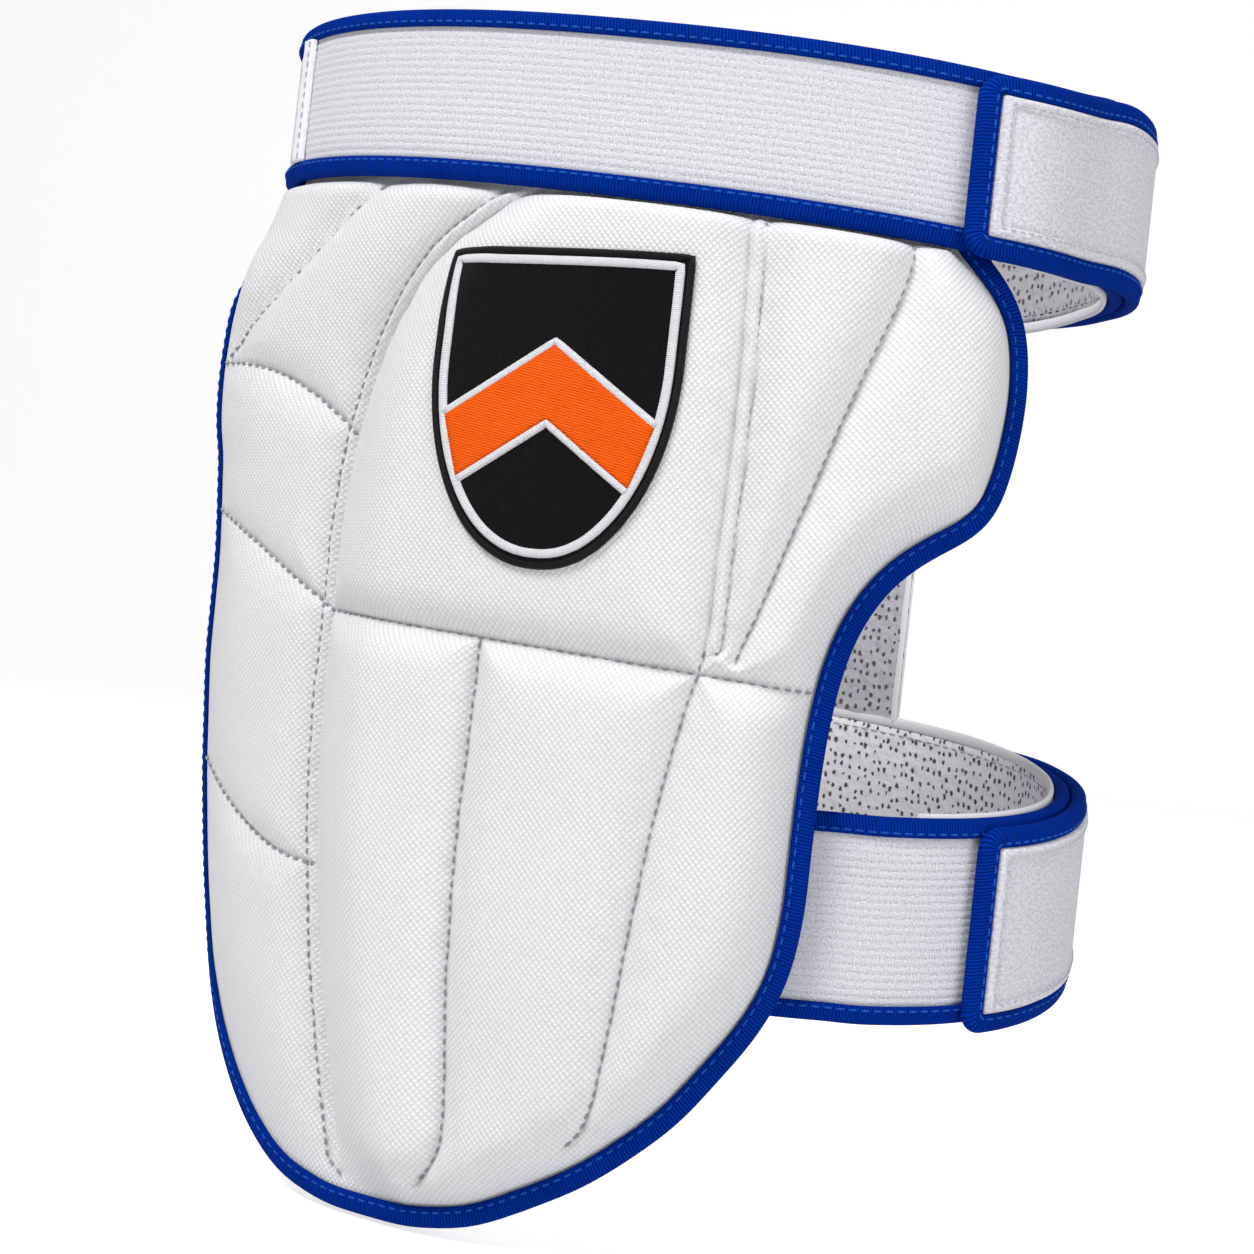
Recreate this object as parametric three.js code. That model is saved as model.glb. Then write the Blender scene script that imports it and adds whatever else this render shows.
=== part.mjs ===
// Cricket thigh guard, standing as it is worn: millimetres, +Z up, the thigh's axis on the Z axis.
// The front faces -Y, and turns are degrees round the thigh from the front, positive towards +X.

import * as THREE from 'three';

// Driving dimensions
const thigh = { width: 210, depth: 128, squareness: 2.3 };
const clear = 0.3;

const pad = {
  top: 103.5,          // height of the quilted field's upper edge above the origin
  height: 277.6,       // quilted field from its upper edge to the toe
  reach: 128,          // round the thigh from the front line to the wrapped side's edge
  standOff: 6.5,       // from the thigh to the back of the padding, room for the lower strap
  margin: 4.2,         // sewn-flat thickness of the rim
  rimTaper: 0.3,       // how much each face of the rim draws in at its edge
  mainDepth: 16.5,     // thickness at the crown of the front pads
  sideDepth: 8,        // thickness at the crown of the pads on the wrapped side
  edgeRise: 15,        // distance over which a pad climbs from the rim
  sideEdgeRise: 22,    // the same on the wrapped side
  seamRise: 10.5,      // distance over which a pad climbs from a sewn groove
  grooveShare: 0.4,    // part of the climb that a sewn groove takes away
  sideFlare: 22.4,     // how far the wrapped side would stand off the thigh at its full reach
  flareStart: 0.45,    // share of the reach where it starts to stand off
  flarePower: 2.5,     // how late it gathers
  sideBlend: 12,       // width over which front and side pads change depth
  strapShelf: 3.5,     // how far below the upper strap the flat shelf under it runs on
};

const panelTape = { width: 4.3, wall: 0.6 };
const strapTape = { width: 4.6, wall: 0.6, cornerRadius: 5.4 };
const strapLayer = { elastic: 2, lining: 1.6, patch: 1.4 };
const strapDepth = strapLayer.elastic + 2 * (strapTape.wall + clear);
const snug = strapLayer.lining + clear;
const restOnPad = 0.8;
const overPad = pad.standOff + pad.margin + clear + panelTape.wall + restOnPad;

const upper = {
  floor: 71, width: 41.6, slopeAcross: -0.084, slopeBack: 0.053,
  padSideSeam: -60, frontEnd: 112.5, tabEnd: 38, tabDip: 1.5,
  sideLift: 4, sideSpread: 3,
};
const lower = {
  floor: -106.5, width: 48.5, slopeAcross: -0.033, slopeBack: 0.167,
  frontStart: -7.5, frontEnd: 112.5, backStart: -22.5, tabEnd: 54.5, tabDip: 1.2,
  dip: 1.1, sideLift: 0, sideSpread: 0,
};
const liningTurns = { from: 45, to: 262.5 };
const patchEnd = 112.5;
const hem = { width: 7, depth: 1.1 };
const backStrip = { from: 150, to: 184, depth: 1.6 };
const badge = { across: -0.075, drop: 0.318, width: 58, height: 74, depth: 1.2, lift: 0.8 };
const stationTurn = 7.5;

// Quilting lines by drop from the field's upper edge, as shares of pad.height.
// Their places round the thigh and the edges are shares of pad.reach; flare is a share of pad.sideFlare.
const sections = [
  { drop: 0, left: -.915, side: -.08, middle: .08, inner: .23, outer: .45, right: .53, flare: 0 },
  { drop: .1, left: -.925, side: -.13, middle: .02, inner: .23, outer: .495, right: .54, flare: .05 },
  { drop: .145, left: -.928, side: -.26, middle: -.05, inner: .231, outer: .512, right: .585, flare: .34 },
  { drop: .168, left: -.93, side: -.335, middle: -.08, inner: .232, outer: .512, right: .64, flare: .58 },
  { drop: .191, left: -.93, side: -.39, middle: -.102, inner: .235, outer: .502, right: .688, flare: .79 },
  { drop: .216, left: -.93, side: -.432, middle: -.122, inner: .237, outer: .486, right: .714, flare: .93 },
  { drop: .256, left: -.93, side: -.485, middle: -.148, inner: .24, outer: .456, right: .726, flare: .99 },
  { drop: .292, left: -.93, side: -.515, middle: -.158, inner: .24, outer: .43, right: .722, flare: 1 },
  { drop: .33, left: -.93, side: -.537, middle: -.162, inner: .24, outer: .405, right: .708, flare: .96 },
  { drop: .362, left: -.93, side: -.55, middle: -.165, inner: .239, outer: .385, right: .678, flare: .87 },
  { drop: .394, left: -.93, side: -.557, middle: -.168, inner: .238, outer: .363, right: .578, flare: .82 },
  { drop: .421, left: -.93, side: -.561, middle: -.171, inner: .236, outer: .346, right: .515, flare: .78 },
  { drop: .461, left: -.93, side: -.561, middle: -.175, inner: .236, outer: .32, right: .463, flare: .735 },
  { drop: .505, left: -.93, side: -.558, middle: -.178, inner: .232, outer: .29, right: .434, flare: .72 },
  { drop: .557, left: -.93, side: -.56, middle: -.178, inner: .208, outer: .3, right: .419, flare: .7 },
  { drop: .616, left: -.93, side: -.555, middle: -.18, inner: .186, outer: .296, right: .413, flare: .62 },
  { drop: .663, left: -.93, side: -.546, middle: -.182, inner: .172, outer: .291, right: .412, flare: .55 },
  { drop: .713, left: -.93, side: -.532, middle: -.18, inner: .16, outer: .285, right: .41, flare: .45 },
  { drop: .762, left: -.93, side: -.512, middle: -.175, inner: .15, outer: .27, right: .393, flare: .34 },
  { drop: .803, left: -.922, side: -.494, middle: -.17, inner: .142, outer: .246, right: .353, flare: .24 },
  { drop: .844, left: -.897, side: -.471, middle: -.161, inner: .133, outer: .212, right: .292, flare: .14 },
  { drop: .879, left: -.832, side: -.45, middle: -.153, inner: .122, outer: .172, right: .235, flare: .06 },
  { drop: .911, left: -.755, side: -.43, middle: -.147, inner: .095, outer: .13, right: .162, flare: .02 },
  { drop: .94, left: -.68, side: -.41, middle: -.15, inner: .025, outer: .055, right: .083, flare: 0 },
  { drop: .967, left: -.6, side: -.39, middle: -.18, inner: -.07, outer: -.042, right: -.016, flare: 0 },
  { drop: .99, left: -.505, side: -.37, middle: -.245, inner: -.17, outer: -.142, right: -.118, flare: 0 },
  { drop: 1, left: -.4, side: -.35, middle: -.3, inner: -.26, outer: -.24, right: -.225, flare: 0 },
];

// Rows of the quilt. On the wrapped side a row climbs towards the edge by rise, bent by bend;
// on the other side it falls towards the edge by fall. Cells is how many steps lead to the next row.
// A sewn row is a quilting line, on the wrapped side alone or all the way across.
const bands = [
  { drop: 0.015, rise: 0.020, bend: 0, fall: 0.030, cells: 12 },
  { drop: 0.342, rise: 0.070, bend: 1, fall: 0.012, cells: 6, sewn: 'side' },
  { drop: 0.500, rise: 0.087, bend: 0, fall: 0.026, cells: 7, sewn: 'all' },
  { drop: 0.729, rise: 0.075, bend: -1, fall: 0.000, cells: 7, sewn: 'side' },
  { drop: 0.940, rise: 0.015, bend: 0, fall: 0.000, cells: 3 },
  { drop: 1.000, rise: 0.000, bend: 0, fall: 0.000, cells: 0 },
];

// Columns of the quilt, with the number of steps to the next one
const columns = [
  { name: 'left', cells: 7 },
  { name: 'side', cells: 5 },
  { name: 'middle', cells: 5 },
  { name: 'inner', cells: 4 },
  { name: 'outer', cells: 4 },
  { name: 'right', cells: 0 },
];

// Sewn lines that follow a column, between two drops
const columnSeams = [
  { column: 'side', from: 0.09, to: 0.99 },
  { column: 'middle', from: 0.512, to: 0.97 },
  { column: 'inner', from: 0.10, to: 0.92 },
  { column: 'outer', from: 0.10, to: 0.52 },
];

// The sewn line that runs down from the strap across the wrapped side, as shares
const shoulderSeam = [
  { across: -0.470, drop: 0.105 },
  { across: -0.575, drop: 0.132 },
  { across: -0.680, drop: 0.170 },
  { across: -0.785, drop: 0.210 },
  { across: -0.870, drop: 0.245 },
  { across: -0.915, drop: 0.268 },
];

// Small helpers
const smooth = (value, from, to) => THREE.MathUtils.smoothstep(value, from, to);
const mix = (a, b, share) => a + (b - a) * share;

function thighPoint(turn, height, offset) {
  const angle = THREE.MathUtils.degToRad(turn);
  const halfWidth = thigh.width / 2;
  const halfDepth = thigh.depth / 2;
  const power = 2 / thigh.squareness;
  const sine = Math.sin(angle);
  const cosine = Math.cos(angle);
  const x = halfWidth * Math.sign(sine) * Math.abs(sine) ** power;
  const y = -halfDepth * Math.sign(cosine) * Math.abs(cosine) ** power;
  const outX = Math.sign(x) * Math.abs(x / halfWidth) ** (thigh.squareness - 1) / halfWidth;
  const outY = Math.sign(y) * Math.abs(y / halfDepth) ** (thigh.squareness - 1) / halfDepth;
  const length = Math.hypot(outX, outY);
  return new THREE.Vector3(x + offset * outX / length, y + offset * outY / length, height);
}

// Distance round the thigh, measured half way through the padding, against the turn
const girth = (() => {
  const step = 0.5;
  const halfWay = pad.standOff + pad.margin;
  const turns = [0];
  const lengths = [0];
  let last = thighPoint(0, 0, halfWay);
  for (let turn = step; turn <= 360; turn += step) {
    const point = thighPoint(turn, 0, halfWay);
    turns.push(turn);
    lengths.push(lengths.at(-1) + point.distanceTo(last));
    last = point;
  }
  return { step, turns, lengths };
})();

function lengthAt(turn) {
  const place = Math.min(Math.abs(turn) / girth.step, girth.turns.length - 1.001);
  const index = Math.floor(place);
  return Math.sign(turn) * mix(girth.lengths[index], girth.lengths[index + 1], place - index);
}

function turnAt(length) {
  const target = Math.abs(length);
  let index = girth.lengths.findIndex((value) => value > target) - 1;
  if (index < 0) index = girth.lengths.length - 2;
  const share = (target - girth.lengths[index]) / (girth.lengths[index + 1] - girth.lengths[index]);
  return Math.sign(length) * (girth.turns[index] + share * girth.step);
}

// A closed body from vertices and triangles, turned so that its faces point out
function bodyGeometry(points, faces) {
  let volume = 0;
  for (const [a, b, c] of faces) {
    volume += points[a].dot(new THREE.Vector3().crossVectors(points[b], points[c]));
  }
  const outward = volume > 0 ? faces : faces.map(([a, b, c]) => [a, c, b]);
  const geometry = new THREE.BufferGeometry();
  const numbers = points.flatMap((point) => point.toArray());
  geometry.setAttribute('position', new THREE.Float32BufferAttribute(numbers, 3));
  geometry.setIndex(outward.flat());
  geometry.computeVertexNormals();
  return geometry;
}

// A profile carried from station to station. place(station, [across, out]) gives the point.
function sweep(stations, profile, place, closed = false) {
  const size = profile.length;
  const points = stations.flatMap((station) => profile.map((corner) => place(station, corner)));
  const faces = [];
  const spans = closed ? stations.length : stations.length - 1;
  for (let i = 0; i < spans; i++) {
    const here = i * size;
    const next = ((i + 1) % stations.length) * size;
    for (let j = 0; j < size; j++) {
      const k = (j + 1) % size;
      faces.push([here + j, next + j, next + k], [here + j, next + k, here + k]);
    }
  }
  if (!closed) {
    const flat = profile.map(([across, out]) => new THREE.Vector2(across, out));
    const last = (stations.length - 1) * size;
    const profileArea = THREE.ShapeUtils.area(flat);
    for (const [a, b, c] of THREE.ShapeUtils.triangulateShape([...flat], [])) {
      const alike = THREE.ShapeUtils.area([flat[a], flat[b], flat[c]]) * profileArea > 0;
      const [p, q, r] = alike ? [a, b, c] : [a, c, b];
      faces.push([p, q, r], [last + p, last + r, last + q]);
    }
  }
  return bodyGeometry(points, faces);
}

// A thin wall over a grid of places, from its inner to its outer face
function gridWall(rows, cols, inner, outer) {
  const points = [];
  for (const face of [inner, outer]) {
    for (let i = 0; i < rows; i++) {
      for (let j = 0; j < cols; j++) points.push(face(i, j));
    }
  }
  const at = (face, i, j) => face * rows * cols + i * cols + j;
  const faces = [];
  for (let i = 0; i < rows - 1; i++) {
    for (let j = 0; j < cols - 1; j++) {
      const [a, b, c, d] = [at(0, i, j), at(0, i, j + 1), at(0, i + 1, j + 1), at(0, i + 1, j)];
      const [e, f, g, h] = [at(1, i, j), at(1, i, j + 1), at(1, i + 1, j + 1), at(1, i + 1, j)];
      faces.push([a, b, c], [a, c, d], [e, g, f], [e, h, g]);
    }
  }
  const rim = gridRim(rows, cols);
  rim.forEach(([i, j], index) => {
    const [k, l] = rim[(index + 1) % rim.length];
    faces.push([at(0, i, j), at(1, k, l), at(1, i, j)], [at(0, i, j), at(0, k, l), at(1, k, l)]);
  });
  return bodyGeometry(points, faces);
}

// The grid places round the rim, down the first column and back up the last one
function gridRim(rows, cols) {
  const rim = [];
  for (let i = 0; i < rows - 1; i++) rim.push([i, 0]);
  for (let j = 0; j < cols - 1; j++) rim.push([rows - 1, j]);
  for (let i = rows - 1; i > 0; i--) rim.push([i, cols - 1]);
  for (let j = cols - 1; j > 0; j--) rim.push([0, j]);
  return rim;
}

// Smooth value of a named column of a table at a drop
function column(table, name, drop) {
  const last = table.length - 1;
  const at = THREE.MathUtils.clamp(drop, 0, table[last].drop);
  const index = Math.max(0, Math.min(last - 1, table.findIndex((row) => row.drop > at) - 1));
  const low = drop >= table[last].drop ? last - 1 : index;
  const slope = (i) => {
    const before = table[Math.max(0, i - 1)];
    const after = table[Math.min(last, i + 1)];
    return (after[name] - before[name]) / (after.drop - before.drop);
  };
  const span = table[low + 1].drop - table[low].drop;
  const t = (at - table[low].drop) / span;
  const start = table[low][name];
  const end = table[low + 1][name];
  const curve = (2 * t ** 3 - 3 * t ** 2 + 1) * start + (t ** 3 - 2 * t ** 2 + t) * span * slope(low);
  return curve + (3 * t ** 2 - 2 * t ** 3) * end + (t ** 3 - t ** 2) * span * slope(low + 1);
}

const heightAt = (drop) => pad.top - drop * pad.height;

// The quilt's grid of places: along is the distance round the thigh, height the level
function quiltGrid() {
  const rows = [];
  bands.forEach((band, index) => {
    const next = bands[index + 1] ?? band;
    for (let cell = 0; cell < Math.max(1, band.cells); cell++) {
      const share = cell / Math.max(1, band.cells);
      const row = {};
      for (const name of ['drop', 'rise', 'bend', 'fall']) row[name] = mix(band[name], next[name], share);
      rows.push(row);
    }
  });
  return rows.map((row) => {
    const side = column(sections, 'side', row.drop);
    const left = column(sections, 'left', row.drop - row.rise);
    const right = column(sections, 'right', row.drop + row.fall);
    const lines = columns.map(({ name }) => {
      if (name === 'left') return left;
      return name === 'right' ? right : column(sections, name, row.drop);
    });
    const places = [];
    columns.forEach(({ cells }, index) => {
      for (let cell = 0; cell < Math.max(1, cells); cell++) {
        const across = mix(lines[index], lines[index + 1] ?? lines[index], cell / Math.max(1, cells));
        const climb = Math.max(0, (across - side) / (left - side));
        const descent = Math.max(0, (across - side) / (right - side));
        const lift = row.rise * (climb + row.bend * climb * (1 - climb));
        const drop = row.drop - lift + row.fall * descent;
        places.push({ along: across * pad.reach, height: heightAt(drop) });
      }
    });
    return places;
  });
}

const quilt = quiltGrid();
const quiltRows = quilt.length;
const quiltColumns = quilt[0].length;
const fieldRim = gridRim(quiltRows, quiltColumns).map(([i, j]) => quilt[i][j]);

// The rim's places with the direction that leads out of the field, lengthened at corners
const rimStations = fieldRim.map((place, index) => {
  const before = fieldRim[(index + fieldRim.length - 1) % fieldRim.length];
  const after = fieldRim[(index + 1) % fieldRim.length];
  const side = (from, to) => {
    const edge = new THREE.Vector2(to.along - from.along, to.height - from.height).normalize();
    return new THREE.Vector2(edge.y, -edge.x);
  };
  const first = side(before, place);
  const out = first.clone().add(side(place, after)).normalize();
  return { ...place, out: out.divideScalar(Math.max(0.72, out.dot(first))) };
});

// Sewn lines as runs of places
function seamRuns() {
  const seamSteps = 24;
  const place = (across, drop) => new THREE.Vector2(across * pad.reach, heightAt(drop));
  const runs = columnSeams.map(({ column: name, from, to }) => {
    const run = [];
    for (let i = 0; i <= seamSteps; i++) {
      const drop = mix(from, to, i / seamSteps);
      run.push(place(column(sections, name, drop), drop));
    }
    return run;
  });
  runs.push(shoulderSeam.map(({ across, drop }) => place(across, drop)));
  let row = 0;
  bands.forEach((band, index) => {
    if (band.sewn) {
      const sideColumn = columns[0].cells;
      const end = band.sewn === 'all' ? quiltColumns : sideColumn + 1;
      runs.push(quilt[row].slice(0, end).map(({ along, height }) => new THREE.Vector2(along, height)));
    }
    row += band.cells;
  });
  return runs;
}

const seams = seamRuns();
const fieldEdge = [...fieldRim, fieldRim[0]].map(({ along, height }) => new THREE.Vector2(along, height));

function distanceToRun(run, along, height) {
  let nearest = Infinity;
  for (let i = 0; i < run.length - 1; i++) {
    const [from, to] = [run[i], run[i + 1]];
    const edge = to.clone().sub(from);
    const reach = new THREE.Vector2(along - from.x, height - from.y);
    const share = THREE.MathUtils.clamp(reach.dot(edge) / Math.max(edge.lengthSq(), 1e-9), 0, 1);
    nearest = Math.min(nearest, reach.sub(edge.multiplyScalar(share)).length());
  }
  return nearest;
}

const domed = (share) => (share >= 1 ? 1 : 1 - (1 - share) ** 2.2);

function flareAt(along, height) {
  const share = Math.max(0, (-along / pad.reach - pad.flareStart) / (1 - pad.flareStart));
  const amount = column(sections, 'flare', (pad.top - height) / pad.height);
  return pad.sideFlare * amount * share ** pad.flarePower;
}

const strapFloor = (strap, point) => strap.floor + strap.slopeAcross * point.x + strap.slopeBack * point.y;

// Thickness of the padding at a place: full in a pad's middle, less at grooves, rim and strap
function padDepth(along, height) {
  const sideSeam = column(sections, 'side', (pad.top - height) / pad.height) * pad.reach;
  const sideShare = smooth(sideSeam - along, -pad.sideBlend / 2, pad.sideBlend / 2);
  const full = mix(pad.mainDepth, pad.sideDepth, sideShare);
  const belowStrap = strapFloor(upper, thighPoint(turnAt(along), 0, overPad)) - height;
  const underStrap = Math.max(0, belowStrap - pad.strapShelf);
  const toEdge = Math.min(distanceToRun(fieldEdge, along, height), underStrap);
  const toSeam = Math.min(...seams.map((run) => distanceToRun(run, along, height)));
  const edgeRise = mix(pad.edgeRise, pad.sideEdgeRise, sideShare);
  const climb = domed(toEdge / edgeRise) * (1 - pad.grooveShare * (1 - domed(toSeam / pad.seamRise)));
  return pad.margin + (full - pad.margin) * climb;
}

function panelPoint(along, height, out, flare = flareAt(along, height)) {
  return thighPoint(turnAt(along), height, pad.standOff + flare + out);
}

// A station of the panel's rim, moved out of the field by a distance
function rimPoint(station, beyond, out) {
  const along = station.along + station.out.x * beyond;
  const height = station.height + station.out.y * beyond;
  return panelPoint(along, height, out, flareAt(station.along, station.height));
}

const rimWidth = panelTape.width + clear;

// Quilted shell: crowned front, flat rim and a plain back with half as many cells
function panelShell() {
  const points = [];
  const front = quilt.map((row) => row.map(({ along, height }) => {
    const onRim = distanceToRun(fieldEdge, along, height) < 0.01;
    const depth = onRim ? pad.margin : padDepth(along, height);
    return points.push(panelPoint(along, height, depth)) - 1;
  }));
  const rimTop = pad.margin - pad.rimTaper;
  const ringTop = rimStations.map((station) => points.push(rimPoint(station, rimWidth, rimTop)) - 1);
  const ringBack = rimStations.map((station) => points.push(rimPoint(station, rimWidth, pad.rimTaper)) - 1);
  const back = quilt.map((row) => row.map(({ along, height }) => {
    return points.push(panelPoint(along, height, 0)) - 1;
  }));
  const faces = [];
  for (let i = 0; i < quiltRows - 1; i++) {
    for (let j = 0; j < quiltColumns - 1; j++) {
      const [a, b, c, d] = [front[i][j], front[i][j + 1], front[i + 1][j + 1], front[i + 1][j]];
      faces.push([a, c, b], [a, d, c]);
    }
  }
  for (let i = 0; i < quiltRows - 1; i += 2) {
    for (let j = 0; j < quiltColumns - 1; j += 2) faces.push(...backCell(back, i, j));
  }
  const rim = gridRim(quiltRows, quiltColumns);
  rim.forEach(([i, j], index) => {
    const next = (index + 1) % rim.length;
    const [k, l] = rim[next];
    const runs = [
      [front[i][j], front[k][l]],
      [ringTop[index], ringTop[next]],
      [ringBack[index], ringBack[next]],
      [back[i][j], back[k][l]],
    ];
    for (let step = 0; step < runs.length - 1; step++) {
      const [[a, b], [d, c]] = [runs[step], runs[step + 1]];
      faces.push([a, c, b], [a, d, c]);
    }
  });
  return bodyGeometry(...dropUnused(points, faces));
}

// Two cells by two of the back as one face, with the middle points of edges on the rim kept
function backCell(back, row, col) {
  const lastRow = quiltRows - 1;
  const lastColumn = quiltColumns - 1;
  const bottom = Math.min(row + 2, lastRow);
  const right = Math.min(col + 2, lastColumn);
  const loop = [[row, col]];
  if (row === 0 && right === col + 2) loop.push([row, col + 1]);
  loop.push([row, right]);
  if (right === lastColumn && bottom === row + 2) loop.push([row + 1, right]);
  loop.push([bottom, right]);
  if (bottom === lastRow && right === col + 2) loop.push([bottom, col + 1]);
  loop.push([bottom, col]);
  if (col === 0 && bottom === row + 2) loop.push([row + 1, col]);
  const onRim = ([i, j]) => i === 0 || j === 0 || i === lastRow || j === lastColumn;
  const start = Math.max(0, loop.findIndex((place) => !onRim(place)));
  const ordered = loop.map((_, index) => loop[(start + index) % loop.length]);
  const faces = [];
  for (let i = 1; i < ordered.length - 1; i++) {
    const [a, b, c] = [ordered[0], ordered[i], ordered[i + 1]].map(([k, l]) => back[k][l]);
    faces.push([a, b, c]);
  }
  return faces;
}

function dropUnused(points, faces) {
  const kept = [...new Set(faces.flat())].sort((a, b) => a - b);
  const place = new Map(kept.map((old, index) => [old, index]));
  return [kept.map((old) => points[old]), faces.map((face) => face.map((old) => place.get(old)))];
}

// A tape folded over an edge: across runs in from the fold, out through the thickness
function tapeProfile(width, depth, wall) {
  return [[0, 0], [width, 0], [width, wall], [wall, wall],
    [wall, depth - wall], [width, depth - wall], [width, depth], [0, depth]];
}

function panelBinding() {
  const reach = clear + panelTape.wall;
  const depth = pad.margin + 2 * reach;
  const profile = tapeProfile(panelTape.width + reach, depth, panelTape.wall);
  const place = (station, [across, out]) => rimPoint(station, rimWidth + reach - across, out - reach);
  return sweep(rimStations, profile, place, true);
}

// Turns from one end to the other, at whole steps that every strap piece shares
function turnsBetween(from, to) {
  const turns = [from];
  for (let turn = Math.ceil(from / stationTurn) * stationTurn; turn < to - 0.01; turn += stationTurn) {
    if (turn > from + 0.01) turns.push(turn);
  }
  return [...turns, to];
}

// How far each strap's inner face lies off the thigh
const upperFrontOffset = (turn) => mix(overPad, snug, smooth(turn, 44, 67));
const lowerFrontOffset = (turn) => snug - lower.dip * (smooth(turn, 12, 22) - smooth(turn, 31, 39));
const upperWrapOffset = (turn) => mix(snug, overPad, smooth(turn, -108, -79));
const lowerWrapOffset = () => snug;

// The back strap lies on the front one at its tab, then comes down to the thigh
function backOffset(turn, frontOffset, wrapOffset) {
  const onFront = frontOffset(turn + 360) + strapDepth + clear;
  return mix(onFront, wrapOffset(turn), smooth(turn, -244, -222));
}

const frontLayer = (strap, offset) => ({ strap, offset, shift: () => 0 });
const backLayer = (strap, frontOffset, wrapOffset) => ({
  strap,
  offset: (turn) => backOffset(turn, frontOffset, wrapOffset),
  shift: (turn) => -strap.tabDip * (1 - smooth(turn, -300, -262)),
});

const upperFront = frontLayer(upper, upperFrontOffset);
const lowerFront = frontLayer(lower, lowerFrontOffset);
const upperBack = backLayer(upper, upperFrontOffset, upperWrapOffset);
const lowerBack = backLayer(lower, lowerFrontOffset, lowerWrapOffset);

// Over the side where it closes, a strap rides up and spreads a little
function sideRise(strap, turn, across) {
  const round = (turn + 360) % 360;
  const share = smooth(round, 46, 88) * (1 - smooth(round, 108, 142));
  return share * (strap.sideLift + strap.sideSpread * across / strap.width);
}

// A place on a strap: turn round the thigh, across from its lower edge, out from its inner face
function strapPoint(layer, turn, across, out) {
  const { strap } = layer;
  const offset = layer.offset(turn);
  const base = thighPoint(turn, 0, offset);
  const height = strapFloor(strap, base) + layer.shift(turn) + across + sideRise(strap, turn, across);
  return thighPoint(turn, height, offset + out);
}

const boxProfile = (low, high, inner, outer) => [[low, inner], [high, inner], [high, outer], [low, outer]];

function strapBand(layer, turns, low, high, inner, outer) {
  const profile = boxProfile(low, high, inner, outer);
  return sweep(turns, profile, (turn, [across, out]) => strapPoint(layer, turn, across, out));
}

function elastic(layer, from, to) {
  const inset = strapTape.wall + clear;
  const top = layer.strap.width - inset;
  return strapBand(layer, turnsBetween(from, to), inset, top, inset, strapDepth - inset);
}

function edgeBinding(layer, from, to, atTop) {
  const profile = tapeProfile(strapTape.width, strapDepth, strapTape.wall);
  const place = (turn, [across, out]) => {
    return strapPoint(layer, turn, atTop ? layer.strap.width - across : across, out);
  };
  return sweep(turnsBetween(from, to), profile, place);
}

// One tape along the lower edge, round the tab's end and back along the upper edge
function tabBinding(layer, start, tabEnd) {
  const { width } = layer.strap;
  const radius = strapTape.cornerRadius;
  const cornerSteps = 4;
  const end = lengthAt(tabEnd - 360);
  const turns = turnsBetween(turnAt(end + radius), start);
  const straight = turns.slice(1);
  const stations = straight.map((turn) => ({ turn, across: 0, along: 0, up: 1 })).reverse();
  for (let i = 0; i <= cornerSteps; i++) {
    const angle = (i / cornerSteps) * Math.PI / 2;
    const [along, up] = [Math.sin(angle), Math.cos(angle)];
    const turn = turnAt(end + radius - radius * along);
    stations.push({ turn, across: radius - radius * up, along, up });
  }
  for (let i = 0; i <= cornerSteps; i++) {
    const angle = (i / cornerSteps) * Math.PI / 2;
    const [along, up] = [Math.cos(angle), -Math.sin(angle)];
    const turn = turnAt(end + radius - radius * along);
    stations.push({ turn, across: width - radius - radius * up, along, up });
  }
  stations.push(...straight.map((turn) => ({ turn, across: width, along: 0, up: -1 })));
  const place = (station, [across, out]) => {
    const turn = turnAt(lengthAt(station.turn) + station.along * across);
    return strapPoint(layer, turn, station.across + station.up * across, out);
  };
  return sweep(stations, tapeProfile(strapTape.width, strapDepth, strapTape.wall), place);
}

function tabElastic(layer, start, tabEnd) {
  const inset = strapTape.wall + clear;
  const corner = strapTape.cornerRadius - inset;
  const end = lengthAt(tabEnd - 360) + inset;
  const turns = [turnAt(end), ...turnsBetween(turnAt(end + corner), start)];
  const band = (turn, [share, out]) => {
    const short = Math.max(0, corner - (lengthAt(turn) - end));
    const cut = corner - Math.sqrt(Math.max(0, corner ** 2 - short ** 2));
    const low = inset + Math.min(cut, corner * 0.9);
    return strapPoint(layer, turn, mix(low, layer.strap.width - low, share), out);
  };
  return sweep(turns, boxProfile(0, 1, inset, strapDepth - inset), band);
}

function patch(layer, tabEnd) {
  const edge = strapTape.width + clear;
  const base = strapDepth - strapTape.wall;
  const turns = turnsBetween(turnAt(lengthAt(tabEnd - 360) + edge), patchEnd - 360);
  return strapBand(layer, turns, edge, layer.strap.width - edge, base, base + strapLayer.patch);
}

// Lining on the inner face of a loop, from the front section round to the wrapped side
function lining(front, back) {
  const drop = strapLayer.lining + clear;
  const turns = turnsBetween(liningTurns.from, liningTurns.to);
  const profile = boxProfile(0, front.strap.width, 0, strapLayer.lining);
  const place = (turn, [across, out]) => strapPoint(liningLayer(front, back, drop), turn, across, out);
  return sweep(turns, profile, place);
}

function liningLayer(front, back, drop) {
  const underBack = (turn) => {
    const wrap = back.offset(turn - 360);
    return mix(front.offset(turn), Math.min(wrap, overPad), smooth(turn, 140, 141)) - drop;
  };
  return { strap: front.strap, offset: underBack, shift: () => 0 };
}

function sideHem() {
  const turns = [upper.padSideSeam, turnAt(lengthAt(upper.padSideSeam) + hem.width)];
  const base = strapDepth + clear;
  const layer = upperFront;
  return strapBand(layer, turns, strapTape.width, upper.width - strapTape.width, base, base + hem.depth);
}

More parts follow.
